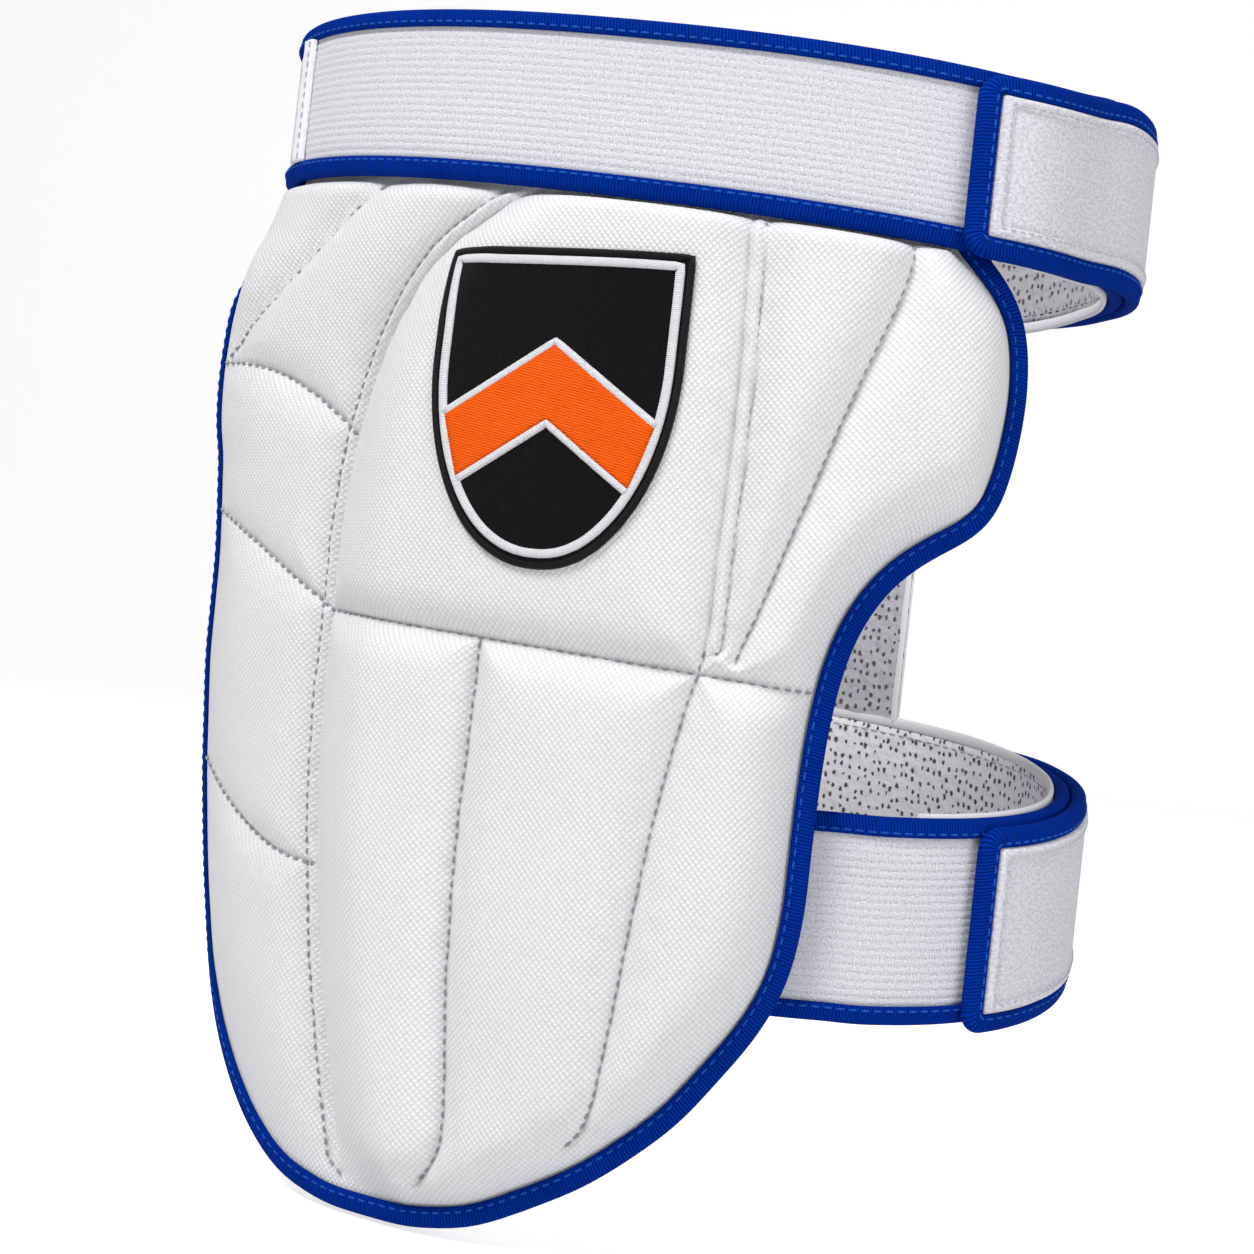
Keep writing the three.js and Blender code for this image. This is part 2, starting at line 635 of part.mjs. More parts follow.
// Upright strip at the back of the thigh between the two linings
function backStripBody() {
  const turns = turnsBetween(backStrip.from, backStrip.to);
  const levels = 6;
  const place = (i, j, out) => {
    const base = thighPoint(turns[j], 0, snug - strapLayer.lining - clear);
    const low = strapFloor(lower, base) + lower.width + clear;
    const high = strapFloor(upper, base) - clear;
    return thighPoint(turns[j], mix(high, low, i / levels), out);
  };
  const outer = (i, j) => place(i, j, backStrip.depth);
  return gridWall(levels + 1, turns.length, (i, j) => place(i, j, 0), outer);
}

// Raised badge in the shape of a heater shield, lying on the middle pad
function badgeBody() {
  const rows = 11;
  const cols = 8;
  const straightPart = 0.34;
  const tipPart = 0.97;
  const centre = { along: badge.across * pad.reach, height: heightAt(badge.drop) };
  const place = (i, j, out) => {
    const level = (i / (rows - 1)) * tipPart;
    const curve = Math.max(0, (level - straightPart) / (1 - straightPart));
    const halfWidth = badge.width / 2 * Math.sqrt(1 - curve ** 2);
    const along = centre.along + halfWidth * (2 * j / (cols - 1) - 1);
    const height = centre.height + badge.height * (0.5 - level);
    return panelPoint(along, height, padDepth(along, height) + badge.lift + out);
  };
  return gridWall(rows, cols, (i, j) => place(i, j, 0), (i, j) => place(i, j, badge.depth));
}

// Finishes
const finish = {
  shell: { color: 0xf4f5f6, roughness: 0.62 },
  tape: { color: 0x0a37a4, roughness: 0.6 },
  elastic: { color: 0xe9eaf1, roughness: 0.85 },
  plush: { color: 0xe6e6ee, roughness: 0.95 },
  mesh: { color: 0xc2c2c8, roughness: 0.85 },
  badge: { color: 0x151516, roughness: 0.5 },
};

const guard = new THREE.Group();

function addPiece(name, geometry, look) {
  const mesh = new THREE.Mesh(geometry, new THREE.MeshStandardMaterial({ ...look, metalness: 0 }));
  mesh.name = name;
  guard.add(mesh);
}

function addEdgeBindings(name, layer, from, to) {
  addPiece(`${name}_top_binding`, edgeBinding(layer, from, to, true), finish.tape);
  addPiece(`${name}_bottom_binding`, edgeBinding(layer, from, to, false), finish.tape);
}

addPiece('panel_shell', panelShell(), finish.shell);
addPiece('panel_binding', panelBinding(), finish.tape);
addPiece('badge', badgeBody(), finish.badge);

addPiece('upper_strap_front', elastic(upperFront, upper.padSideSeam, upper.frontEnd), finish.elastic);
addEdgeBindings('upper_front', upperFront, upper.padSideSeam, upper.frontEnd);
addPiece('upper_side_hem', sideHem(), finish.elastic);
const upperBackStart = turnAt(lengthAt(upper.padSideSeam) - clear);
addPiece('upper_strap_back', tabElastic(upperBack, upperBackStart, upper.tabEnd), finish.elastic);
addPiece('upper_back_binding', tabBinding(upperBack, upperBackStart, upper.tabEnd), finish.tape);
addPiece('upper_patch', patch(upperBack, upper.tabEnd), finish.plush);
addPiece('upper_lining', lining(upperFront, upperBack), finish.mesh);

addPiece('lower_strap_front', elastic(lowerFront, lower.frontStart, lower.frontEnd), finish.elastic);
addEdgeBindings('lower_front', lowerFront, lower.frontStart, lower.frontEnd);
addPiece('lower_strap_back', tabElastic(lowerBack, lower.backStart, lower.tabEnd), finish.elastic);
addPiece('lower_back_binding', tabBinding(lowerBack, lower.backStart, lower.tabEnd), finish.tape);
addPiece('lower_patch', patch(lowerBack, lower.tabEnd), finish.plush);
addPiece('lower_lining', lining(lowerFront, lowerBack), finish.mesh);

addPiece('back_strip', backStripBody(), finish.mesh);

export default guard;
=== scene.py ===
"""Looks of a cricket thigh guard: quilted pad, bound edges, elastic straps, linings and a badge.

Sizes are in millimetres inside the classes, and in metres once a mesh is made. Turns are degrees
round the thigh from the front, positive towards the side where the straps close.
"""

import logging
import math
from dataclasses import dataclass, field
from enum import Enum
from typing import NamedTuple, Sequence

import bmesh
import bpy
import numpy as np
from mathutils import Matrix, Vector


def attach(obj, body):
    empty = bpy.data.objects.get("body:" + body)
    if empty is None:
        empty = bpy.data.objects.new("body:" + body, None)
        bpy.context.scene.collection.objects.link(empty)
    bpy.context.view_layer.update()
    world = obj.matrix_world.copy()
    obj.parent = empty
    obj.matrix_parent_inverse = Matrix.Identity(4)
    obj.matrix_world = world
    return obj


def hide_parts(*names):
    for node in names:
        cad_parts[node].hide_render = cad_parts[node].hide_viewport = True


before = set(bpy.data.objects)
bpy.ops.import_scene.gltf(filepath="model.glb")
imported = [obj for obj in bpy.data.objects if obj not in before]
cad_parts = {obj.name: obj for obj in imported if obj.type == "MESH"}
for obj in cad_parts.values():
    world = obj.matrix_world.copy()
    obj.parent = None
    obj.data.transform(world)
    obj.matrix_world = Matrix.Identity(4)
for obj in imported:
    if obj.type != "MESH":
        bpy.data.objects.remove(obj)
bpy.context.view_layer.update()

Array = np.ndarray
Color = tuple[float, float, float, float]
MM = 0.001
log = logging.getLogger("thigh_guard")


# Small maths


def smooth(value: Array | float, start: float, end: float) -> Array:
    """Smooth step from 0 at start to 1 at end."""
    share = np.clip((np.asarray(value, float) - start) / (end - start), 0, 1)
    return share * share * (3 - 2 * share)


def mix(low: Array | float, high: Array | float, share: Array | float) -> Array:
    """Value between low and high at a share."""
    return low + (np.asarray(high) - low) * share


def ripple(x: Array, y: Array, wave: float) -> Array:
    """Soft uneven swell over a plane, about -1 to 1.

    Args:
        x: first coordinate in millimetres.
        y: second coordinate in millimetres.
        wave: rough distance between crests.

    Returns:
        The height of the swell at each place.
    """
    k = 2 * math.pi / wave
    first = np.sin(k * x + 1.9 * np.sin(0.37 * k * y + 0.6))
    second = np.sin(k * 0.83 * y + 1.6 * np.sin(0.41 * k * x + 2.1))
    return 0.5 * first + 0.5 * second


def crown(share: Array, power: float) -> Array:
    """Rounded rise from 0 to 1 over a share, steeper at its foot with a higher power."""
    return 1 - np.clip(1 - share, 0, 1) ** power


def distance_to_runs(x: Array, y: Array, runs: Sequence[Array]) -> Array:
    """Distance from points of a plane to the nearest of several polylines.

    Args:
        x: first coordinates.
        y: second coordinates.
        runs: polylines, each an array of points.

    Returns:
        The nearest distance for each point.
    """
    nearest = np.full(np.shape(x), 1e9)
    for run in runs:
        for start, end in zip(run[:-1], run[1:]):
            edge = end - start
            length = max(float(edge @ edge), 1e-9)
            share = np.clip(((x - start[0]) * edge[0] + (y - start[1]) * edge[1]) / length, 0, 1)
            gap = np.hypot(x - start[0] - share * edge[0], y - start[1] - share * edge[1])
            nearest = np.minimum(nearest, gap)
    return nearest


# Node groups


def node(tree: bpy.types.NodeTree, kind: str, inputs: dict | None = None, **settings) -> bpy.types.Node:
    """Adds a node, with its settings and with values or links on its inputs.

    Args:
        tree: node tree to add to.
        kind: Blender's name of the node.
        inputs: socket name or number to a value or to another node's output.
        **settings: properties of the node.

    Returns:
        The new node.
    """
    made = tree.nodes.new(kind)
    for key, value in settings.items():
        setattr(made, key, value)
    for key, value in (inputs or {}).items():
        if isinstance(value, bpy.types.NodeSocket):
            tree.links.new(value, made.inputs[key])
        else:
            made.inputs[key].default_value = value
    return made


def maths(tree: bpy.types.NodeTree, operation: str, *values) -> bpy.types.NodeSocket:
    """Adds a Math node on the given values or sockets and returns its output."""
    return node(tree, "ShaderNodeMath", dict(enumerate(values)), operation=operation).outputs[0]


class Effect(Enum):
    """Surface effects that several finishes share."""

    TONE = "cloth tone"
    DIAMONDS = "pressed diamonds"
    RIBS = "ribs"
    FUZZ = "fuzz"
    HOLES = "perforation"


class EffectLibrary:
    """Shader node groups for the shared effects, each built once."""

    @staticmethod
    def group(effect: Effect) -> bpy.types.NodeTree:
        """Node group of an effect, built the first time it is asked for.

        Args:
            effect: which effect.

        Returns:
            The node group.
        """
        found = bpy.data.node_groups.get(effect.value)
        if found:
            return found
        tree = bpy.data.node_groups.new(effect.value, "ShaderNodeTree")
        build = {
            Effect.TONE: EffectLibrary._tone,
            Effect.DIAMONDS: EffectLibrary._diamonds,
            Effect.RIBS: EffectLibrary._ribs,
            Effect.FUZZ: EffectLibrary._fuzz,
            Effect.HOLES: EffectLibrary._holes,
        }[effect]
        build(tree)
        return tree

    @staticmethod
    def place(tree: bpy.types.NodeTree, effect: Effect, **values) -> bpy.types.Node:
        """Puts an effect into a material with its own values.

        Args:
            tree: the material's nodes.
            effect: which effect.
            values: its inputs, with _ for spaces.

        Returns:
            The node of the group.
        """
        made = tree.nodes.new("ShaderNodeGroup")
        made.node_tree = EffectLibrary.group(effect)
        for key, value in values.items():
            socket = made.inputs[key.replace("_", " ")]
            if isinstance(value, bpy.types.NodeSocket):
                tree.links.new(value, socket)
            else:
                socket.default_value = value
        return made

    @staticmethod
    def _sockets(tree: bpy.types.NodeTree, inputs: dict[str, tuple], outputs: dict[str, str]) -> tuple:
        """Makes a group's sockets.

        Args:
            tree: the group.
            inputs: name to (kind, default value).
            outputs: name to kind.

        Returns:
            The group's input and output nodes.
        """
        for name, (kind, value) in inputs.items():
            made = tree.interface.new_socket(name=name, in_out="INPUT", socket_type=kind)
            made.default_value = value
        for name, kind in outputs.items():
            tree.interface.new_socket(name=name, in_out="OUTPUT", socket_type=kind)
        return tree.nodes.new("NodeGroupInput"), tree.nodes.new("NodeGroupOutput")

    @staticmethod
    def _tone(tree: bpy.types.NodeTree) -> None:
        """Slow uneven tone with a faint tint in the darker places.

        Args:
            tree: the group's nodes.
        """
        inputs = {
            "Color": ("NodeSocketColor", (0.8, 0.8, 0.8, 1)),
            "Shade": ("NodeSocketColor", (0.6, 0.6, 0.62, 1)),
            "Amount": ("NodeSocketFloat", 0.2),
            "Scale": ("NodeSocketFloat", 40.0),
        }
        source, result = EffectLibrary._sockets(tree, inputs, {"Color": "NodeSocketColor"})
        place = node(tree, "ShaderNodeTexCoord").outputs["Object"]
        noise = {"Vector": place, "Scale": source.outputs["Scale"], "Detail": 4.0}
        cloud = node(tree, "ShaderNodeTexNoise", noise)
        share = maths(tree, "MULTIPLY", cloud.outputs["Fac"], source.outputs["Amount"])
        blend = node(tree, "ShaderNodeMix", {"Factor": share}, data_type="RGBA")
        tree.links.new(source.outputs["Color"], blend.inputs[6])
        tree.links.new(source.outputs["Shade"], blend.inputs[7])
        tree.links.new(blend.outputs[2], result.inputs["Color"])

    @staticmethod
    def _diamonds(tree: bpy.types.NodeTree) -> None:
        """Fine pressed diamond grain on the cloth's own coordinates.

        Args:
            tree: the group's nodes.
        """
        inputs = {"Pitch": ("NodeSocketFloat", 1.8)}
        source, result = EffectLibrary._sockets(tree, inputs, {"Height": "NodeSocketFloat"})
        place = node(tree, "ShaderNodeUVMap", uv_map="cloth").outputs["UV"]
        apart = node(tree, "ShaderNodeSeparateXYZ", {0: place})
        turn = maths(tree, "DIVIDE", math.pi, source.outputs["Pitch"])
        waves = []
        for operation in ("ADD", "SUBTRACT"):
            across = maths(tree, "MULTIPLY", apart.outputs[1], 0.86)
            slanted = maths(tree, operation, apart.outputs[0], across)
            wave = maths(tree, "SINE", maths(tree, "MULTIPLY", slanted, turn))
            waves.append(maths(tree, "POWER", maths(tree, "ABSOLUTE", wave), 0.7))
        tree.links.new(maths(tree, "MULTIPLY", *waves), result.inputs["Height"])

    @staticmethod
    def _ribs(tree: bpy.types.NodeTree) -> None:
        """Rounded ribs across a direction of the cloth, a little uneven.

        Args:
            tree: the group's nodes.
        """
        inputs = {
            "Direction": ("NodeSocketVector", (1, 0, 0)),
            "Pitch": ("NodeSocketFloat", 1.2),
            "Waver": ("NodeSocketFloat", 0.2),
        }
        source, result = EffectLibrary._sockets(tree, inputs, {"Height": "NodeSocketFloat"})
        place = node(tree, "ShaderNodeUVMap", uv_map="cloth").outputs["UV"]
        pair = {0: place, 1: source.outputs["Direction"]}
        along = node(tree, "ShaderNodeVectorMath", pair, operation="DOT_PRODUCT")
        noise = {"Vector": place, "Scale": 0.7, "Detail": 2.0}
        drift = node(tree, "ShaderNodeTexNoise", noise).outputs["Fac"]
        waver = maths(tree, "MULTIPLY", drift, source.outputs["Waver"])
        moved = maths(tree, "ADD", along.outputs["Value"], waver)
        turn = maths(tree, "DIVIDE", math.pi, source.outputs["Pitch"])
        wave = maths(tree, "ABSOLUTE", maths(tree, "SINE", maths(tree, "MULTIPLY", moved, turn)))
        tree.links.new(maths(tree, "POWER", wave, 0.6), result.inputs["Height"])

    @staticmethod
    def _fuzz(tree: bpy.types.NodeTree) -> None:
        """Fine pebbled nap, stretched along a direction by the two scales.

        Args:
            tree: the group's nodes.
        """
        inputs = {
            "Scale Along": ("NodeSocketFloat", 1.5),
            "Scale Across": ("NodeSocketFloat", 1.5),
            "Roughness": ("NodeSocketFloat", 0.6),
        }
        source, result = EffectLibrary._sockets(tree, inputs, {"Height": "NodeSocketFloat"})
        place = node(tree, "ShaderNodeUVMap", uv_map="cloth").outputs["UV"]
        scales = {0: source.outputs["Scale Along"], 1: source.outputs["Scale Across"]}
        scale = node(tree, "ShaderNodeCombineXYZ", scales)
        pair = {0: place, 1: scale.outputs[0]}
        moved = node(tree, "ShaderNodeVectorMath", pair, operation="MULTIPLY").outputs[0]
        noise = node(tree, "ShaderNodeTexNoise", {"Vector": moved, "Scale": 1.0, "Detail": 5.0})
        tree.links.new(source.outputs["Roughness"], noise.inputs["Roughness"])
        tree.links.new(noise.outputs["Fac"], result.inputs["Height"])

    @staticmethod
    def _holes(tree: bpy.types.NodeTree) -> None:
        """Scattered small punched holes, uneven in size and edge.

        Args:
            tree: the group's nodes.
        """
        inputs = {
            "Pitch": ("NodeSocketFloat", 4.4),
            "Radius": ("NodeSocketFloat", 0.16),
            "Scatter": ("NodeSocketFloat", 0.75),
        }
        source, result = EffectLibrary._sockets(tree, inputs, {"Mask": "NodeSocketFloat"})
        place = node(tree, "ShaderNodeUVMap", uv_map="cloth").outputs["UV"]
        noise = {"Vector": place, "Scale": 1.3, "Detail": 2.0}
        drift = node(tree, "ShaderNodeTexNoise", noise).outputs["Color"]
        shift = {0: drift, 1: (1.3, 1.3, 0), 2: place}
        moved = node(tree, "ShaderNodeVectorMath", shift, operation="MULTIPLY_ADD")
        squeeze = {0: moved.outputs[0], 1: (1.15, 0.87, 1)}
        narrow = node(tree, "ShaderNodeVectorMath", squeeze, operation="MULTIPLY")
        scale = maths(tree, "DIVIDE", 1.0, source.outputs["Pitch"])
        spots = {"Vector": narrow.outputs[0], "Scale": scale}
        cells = node(tree, "ShaderNodeTexVoronoi", spots, voronoi_dimensions="2D")
        tree.links.new(source.outputs["Scatter"], cells.inputs["Randomness"])
        chance = node(tree, "ShaderNodeSeparateColor", {0: cells.outputs["Color"]}).outputs[0]
        uneven = maths(tree, "MULTIPLY_ADD", chance, 0.5, 0.75)
        outer = maths(tree, "MULTIPLY", source.outputs["Radius"], uneven)
        inner = maths(tree, "MULTIPLY", outer, 0.6)
        span = {"Value": cells.outputs["Distance"], "From Min": inner, "From Max": outer}
        fade = {**span, "To Min": 1.0, "To Max": 0.0}
        edge = node(tree, "ShaderNodeMapRange", fade, interpolation_type="SMOOTHSTEP")
        tree.links.new(edge.outputs["Result"], result.inputs["Mask"])


# Finishes


@dataclass(frozen=True)
class Finish:
    """A finish: its name, main colour, darker tint, roughness, sheen and gloss."""

    name: str
    color: Color
    shade: Color
    roughness: float = 0.7
    sheen: float = 0.0
    gloss: float = 0.3

    def material(self) -> bpy.types.Material:
        """Material of this finish, made the first time it is asked for.

        Returns:
            The material.
        """
        found = bpy.data.materials.get(self.name)
        if found:
            return found
        made = bpy.data.materials.new(self.name)
        made.use_nodes = True
        shader = made.node_tree.nodes["Principled BSDF"]
        shader.inputs["Roughness"].default_value = self.roughness
        shader.inputs["Specular IOR Level"].default_value = self.gloss
        shader.inputs["Sheen Weight"].default_value = self.sheen
        shader.inputs["Sheen Roughness"].default_value = 0.5
        self.dress(made.node_tree, shader)
        return made

    def dress(self, tree: bpy.types.NodeTree, shader: bpy.types.Node) -> None:
        """Adds the finish's own colour and relief to its shader."""
        self.tone(tree, shader, 0.3, 60.0)

    def tone(self, tree: bpy.types.NodeTree, shader: bpy.types.Node, amount: float, scale: float,
             mask: bpy.types.NodeSocket | None = None, dark: Color | None = None) -> None:
        """Uneven tone on the base colour, darkened by a mask of painted shade if there is one.

        Args:
            tree: the material's nodes.
            shader: its main shader.
            amount: how far the tone goes to the shade.
            scale: size of the noise.
            mask: where the painted shade shows.
            dark: that colour.
        """
        cloth = EffectLibrary.place(
            tree, Effect.TONE, Color=self.color, Shade=self.shade, Amount=amount, Scale=scale
        )
        color = cloth.outputs["Color"]
        if mask is not None:
            blend = node(tree, "ShaderNodeMix", {"Factor": mask}, data_type="RGBA")
            tree.links.new(color, blend.inputs[6])
            blend.inputs[7].default_value = dark or self.shade
            color = blend.outputs[2]
        tree.links.new(color, shader.inputs["Base Color"])

    @staticmethod
    def relief(tree: bpy.types.NodeTree, shader: bpy.types.Node, layers: Sequence[tuple]) -> None:
        """Stacks bump layers on the shader's normal.

        Args:
            tree: the material's nodes.
            shader: its main shader.
            layers: (height socket, strength, depth in millimetres) of each layer.
        """
        normal = None
        for height, strength, depth in layers:
            values = {"Height": height, "Strength": strength, "Distance": depth * MM}
            bump = node(tree, "ShaderNodeBump", values)
            if normal is not None:
                tree.links.new(normal, bump.inputs["Normal"])
            normal = bump.outputs["Normal"]
        tree.links.new(normal, shader.inputs["Normal"])


@dataclass(frozen=True)
class ShellCloth(Finish):
    """White coated cloth with a fine pressed diamond grain, with painted shade in the grain's pits and its
    sewn grooves.
    """

    pitch: float = 1.42

    def dress(self, tree: bpy.types.NodeTree, shader: bpy.types.Node) -> None:
        """Adds the grain, painted shade in its pits and sewn creases, and the uneven tone.

        Args:
            tree: the material's nodes.
            shader: its main shader.
        """
        grain = EffectLibrary.place(tree, Effect.DIAMONDS, Pitch=self.pitch).outputs["Height"]
        fine = EffectLibrary.place(tree, Effect.FUZZ, Scale_Along=3.0, Scale_Across=3.0).outputs["Height"]
        crease = node(tree, "ShaderNodeAttribute", attribute_name="crease").outputs["Fac"]
        # Painted shade: the colour goes darker in the grain's pits and along the sewn creases.
        pits = maths(tree, "MULTIPLY", maths(tree, "SUBTRACT", 1.0, grain), 0.42)
        dark = maths(tree, "MAXIMUM", pits, maths(tree, "MULTIPLY", crease, 0.22))
        self.tone(tree, shader, 0.12, 30.0, dark, (0.42, 0.42, 0.45, 1))
        self.relief(tree, shader, [(grain, 0.7, 0.28), (fine, 0.3, 0.15)])


@dataclass(frozen=True)
class RibbedTape(Finish):
    """Royal blue binding tape with ribs across it."""

    pitch: float = 0.78

    def dress(self, tree: bpy.types.NodeTree, shader: bpy.types.Node) -> None:
        """Adds the ribs, painted shade in the hollows between them, and the uneven tone.

        Args:
            tree: the material's nodes.
            shader: its main shader.
        """
        ribs = EffectLibrary.place(tree, Effect.RIBS, Direction=(1, 0.12, 0), Pitch=self.pitch, Waver=0.5)
        fine = EffectLibrary.place(tree, Effect.FUZZ, Scale_Along=2.5, Scale_Across=3.5).outputs["Height"]
        # Painted shade: the colour goes darker in the hollows between the ribs.
        low = maths(tree, "MULTIPLY", maths(tree, "SUBTRACT", 1.0, ribs.outputs["Height"]), 1.1)
        self.tone(tree, shader, 0.5, 90.0, low, (0.0, 0.005, 0.06, 1))
        self.relief(tree, shader, [(ribs.outputs["Height"], 0.8, 0.3), (fine, 0.7, 0.35)])


@dataclass(frozen=True)
class KnittedElastic(Finish):
    """Cool white elastic: knitted courses across the raised ribs, with a little fuzz."""

    pitch: float = 0.75

    def dress(self, tree: bpy.types.NodeTree, shader: bpy.types.Node) -> None:
        """Adds the knit, the fuzz, and painted shade in the rib hollows and in the low places of the knit and
        fuzz.

        Args:
            tree: the material's nodes.
            shader: its main shader.
        """
        knit = EffectLibrary.place(tree, Effect.RIBS, Direction=(1, 0.3, 0), Pitch=self.pitch, Waver=1.1)
        fuzz = EffectLibrary.place(tree, Effect.FUZZ, Scale_Along=1.5, Scale_Across=2.4, Roughness=0.75)
        # Painted shade: darker in the hollows between the ribs, between the knitted courses and in the low
        # places of the fuzz.
        hollow = node(tree, "ShaderNodeAttribute", attribute_name="crease").outputs["Fac"]
        span = {"Value": fuzz.outputs["Height"], "From Min": 0.57, "From Max": 0.43}
        gaps = node(tree, "ShaderNodeMapRange", span).outputs["Result"]
        low = maths(tree, "MULTIPLY", maths(tree, "SUBTRACT", 1.0, knit.outputs["Height"]), 0.22)
        hollow_shade = maths(tree, "MULTIPLY", maths(tree, "ADD", maths(tree, "MULTIPLY", hollow, 0.6), 0.5), gaps)
        dark = maths(tree, "MAXIMUM", low, maths(tree, "MULTIPLY", hollow_shade, 0.95))
        self.tone(tree, shader, 0.3, 250.0, dark, (0.40, 0.40, 0.46, 1))
        self.relief(tree, shader, [(knit.outputs["Height"], 0.4, 0.25), (fuzz.outputs["Height"], 0.7, 0.7)])


@dataclass(frozen=True)
class LoopPlush(Finish):
    """Brushed loop fabric with a fine pebbled nap."""

    def dress(self, tree: bpy.types.NodeTree, shader: bpy.types.Node) -> None:
        """Adds the nap and its small shadows.

        Args:
            tree: the material's nodes.
            shader: its main shader.
        """
        nap = EffectLibrary.place(tree, Effect.FUZZ, Scale_Along=1.15, Scale_Across=1.35, Roughness=0.7)
        span = {"Value": nap.outputs["Height"], "From Min": 0.55, "From Max": 0.44}
        low = node(tree, "ShaderNodeMapRange", span)
        dark = maths(tree, "MULTIPLY", low.outputs["Result"], 0.62)
        self.tone(tree, shader, 0.3, 200.0, dark, self.shade)
        self.relief(tree, shader, [(nap.outputs["Height"], 0.8, 0.9)])


@dataclass(frozen=True)
class PerforatedCloth(Finish):
    """Pale grey padded lining with punched holes and a fine knit."""

    pitch: float = 2.9
    radius: float = 0.23

    def dress(self, tree: bpy.types.NodeTree, shader: bpy.types.Node) -> None:
        """Adds the holes, coloured near black as painted shade inside them, and the knit between them.

        Args:
            tree: the material's nodes.
            shader: its main shader.
        """
        holes = EffectLibrary.place(tree, Effect.HOLES, Pitch=self.pitch, Radius=self.radius, Scatter=0.62)
        swell = EffectLibrary.place(tree, Effect.FUZZ, Scale_Along=0.33, Scale_Across=0.33, Roughness=0.4)
        knit = EffectLibrary.place(tree, Effect.FUZZ, Scale_Along=2.2, Scale_Across=2.2).outputs["Height"]
        depth = maths(tree, "SUBTRACT", 1.0, holes.outputs["Mask"])
        # Painted shade: the holes are coloured near black, standing in for the shade inside them.
        self.tone(tree, shader, 0.4, 120.0, holes.outputs["Mask"], (0.09, 0.088, 0.095, 1))
        layers = [(swell.outputs["Height"], 0.6, 1.8), (depth, 0.9, 0.8), (knit, 0.5, 0.35)]
        self.relief(tree, shader, layers)


@dataclass(frozen=True)
class SatinStitch(Finish):
    """Embroidery thread laid side by side."""

    pitch: float = 0.42
    direction: tuple[float, float, float] = (1, 0, 0)

    def dress(self, tree: bpy.types.NodeTree, shader: bpy.types.Node) -> None:
        """Adds the threads, their gloss and painted shade between them.

        Args:
            tree: the material's nodes.
            shader: its main shader.
        """
        place = EffectLibrary.place
        threads = place(tree, Effect.RIBS, Direction=self.direction, Pitch=self.pitch, Waver=0.35)
        runs = place(tree, Effect.FUZZ, Scale_Along=0.5, Scale_Across=2.5).outputs["Height"]
        # Painted shade: darker in the grooves between the threads.
        low = maths(tree, "MULTIPLY", maths(tree, "SUBTRACT", 1.0, threads.outputs["Height"]), 0.65)
        self.tone(tree, shader, 0.25, 150.0, low, self.shade)
        self.relief(tree, shader, [(threads.outputs["Height"], 0.8, 0.3), (runs, 0.5, 0.35)])


SHELL = ShellCloth("white shell cloth", (0.83, 0.83, 0.84, 1), (0.66, 0.66, 0.69, 1), 0.55, 0.1)
TAPE = RibbedTape("blue binding tape", (0.0002, 0.038, 0.40, 1), (0.0002, 0.015, 0.18, 1), 0.75, 0.0, 0.02)
ELASTIC = KnittedElastic("white elastic", (0.88, 0.875, 0.93, 1), (0.76, 0.755, 0.83, 1), 0.9, 0.2)
PLUSH = LoopPlush("loop plush", (0.90, 0.89, 0.95, 1), (0.50, 0.495, 0.58, 1), 0.95, 0.3)
LINING = PerforatedCloth("perforated lining", (0.92, 0.905, 0.935, 1), (0.70, 0.69, 0.72, 1), 0.9, 0.2)
# Darker copy of the lining: painted shade for the lining deep in the upper loop and for the back strip.
SHADED_LINING = PerforatedCloth(
    "shaded perforated lining", (0.50, 0.485, 0.52, 1), (0.34, 0.33, 0.36, 1), 0.9, 0.2
)
RIM_CLOTH = Finish("lining rim", (0.76, 0.755, 0.78, 1), (0.58, 0.58, 0.61, 1), 0.85, 0.2)
HEM_CLOTH = Finish("folded hem", (0.82, 0.82, 0.87, 1), (0.62, 0.62, 0.69, 1), 0.85, 0.2)
PALE_THREAD = SatinStitch("pale thread", (0.62, 0.62, 0.65, 1), (0.40, 0.40, 0.44, 1), 0.6, 0.1)
GREY_THREAD = SatinStitch("grey thread", (0.68, 0.68, 0.73, 1), (0.42, 0.42, 0.47, 1), 0.6, 0.1)
SEAM_THREAD = SatinStitch("seam thread", (0.42, 0.42, 0.45, 1), (0.26, 0.26, 0.29, 1), 0.7, 0.1)
BLUE_THREAD = SatinStitch("light blue thread", (0.008, 0.11, 0.60, 1), (0.004, 0.05, 0.35, 1), 0.55, 0.0, 0.2)
BLACK_SATIN = SatinStitch(
    "black satin", (0.004, 0.004, 0.005, 1), (0.001, 0.001, 0.001, 1), 0.42, 0.0, 0.1, 0.62, (0.9, 0.45, 0))
ORANGE_SATIN = SatinStitch(
    "orange satin", (1.0, 0.125, 0.001, 1), (0.55, 0.045, 0.001, 1), 0.5, 0.0, 0.08, 0.62, (0.2, 1, 0))
WHITE_CORD = SatinStitch("white cord", (0.85, 0.85, 0.89, 1), (0.55, 0.55, 0.62, 1), 0.5, 0.1)
BLACK_CORD = SatinStitch("black cord", (0.007, 0.007, 0.008, 1), (0.002, 0.002, 0.002, 1), 0.4, 0.0, 0.16)


# Mesh making


def rim_of(grid: Array) -> Array:
    """Numbers of a grid's rim places, once round.

    Args:
        grid: an array whose first two sizes are its rows and columns.

    Returns:
        (n, 2) rows and columns.
    """
    rows, columns = grid.shape[:2]
    rim = [(i, 0) for i in range(rows - 1)]
    rim += [(rows - 1, j) for j in range(columns - 1)]
    rim += [(i, columns - 1) for i in range(rows - 1, 0, -1)]
    rim += [(0, j) for j in range(columns - 1, 0, -1)]
    return np.array(rim)


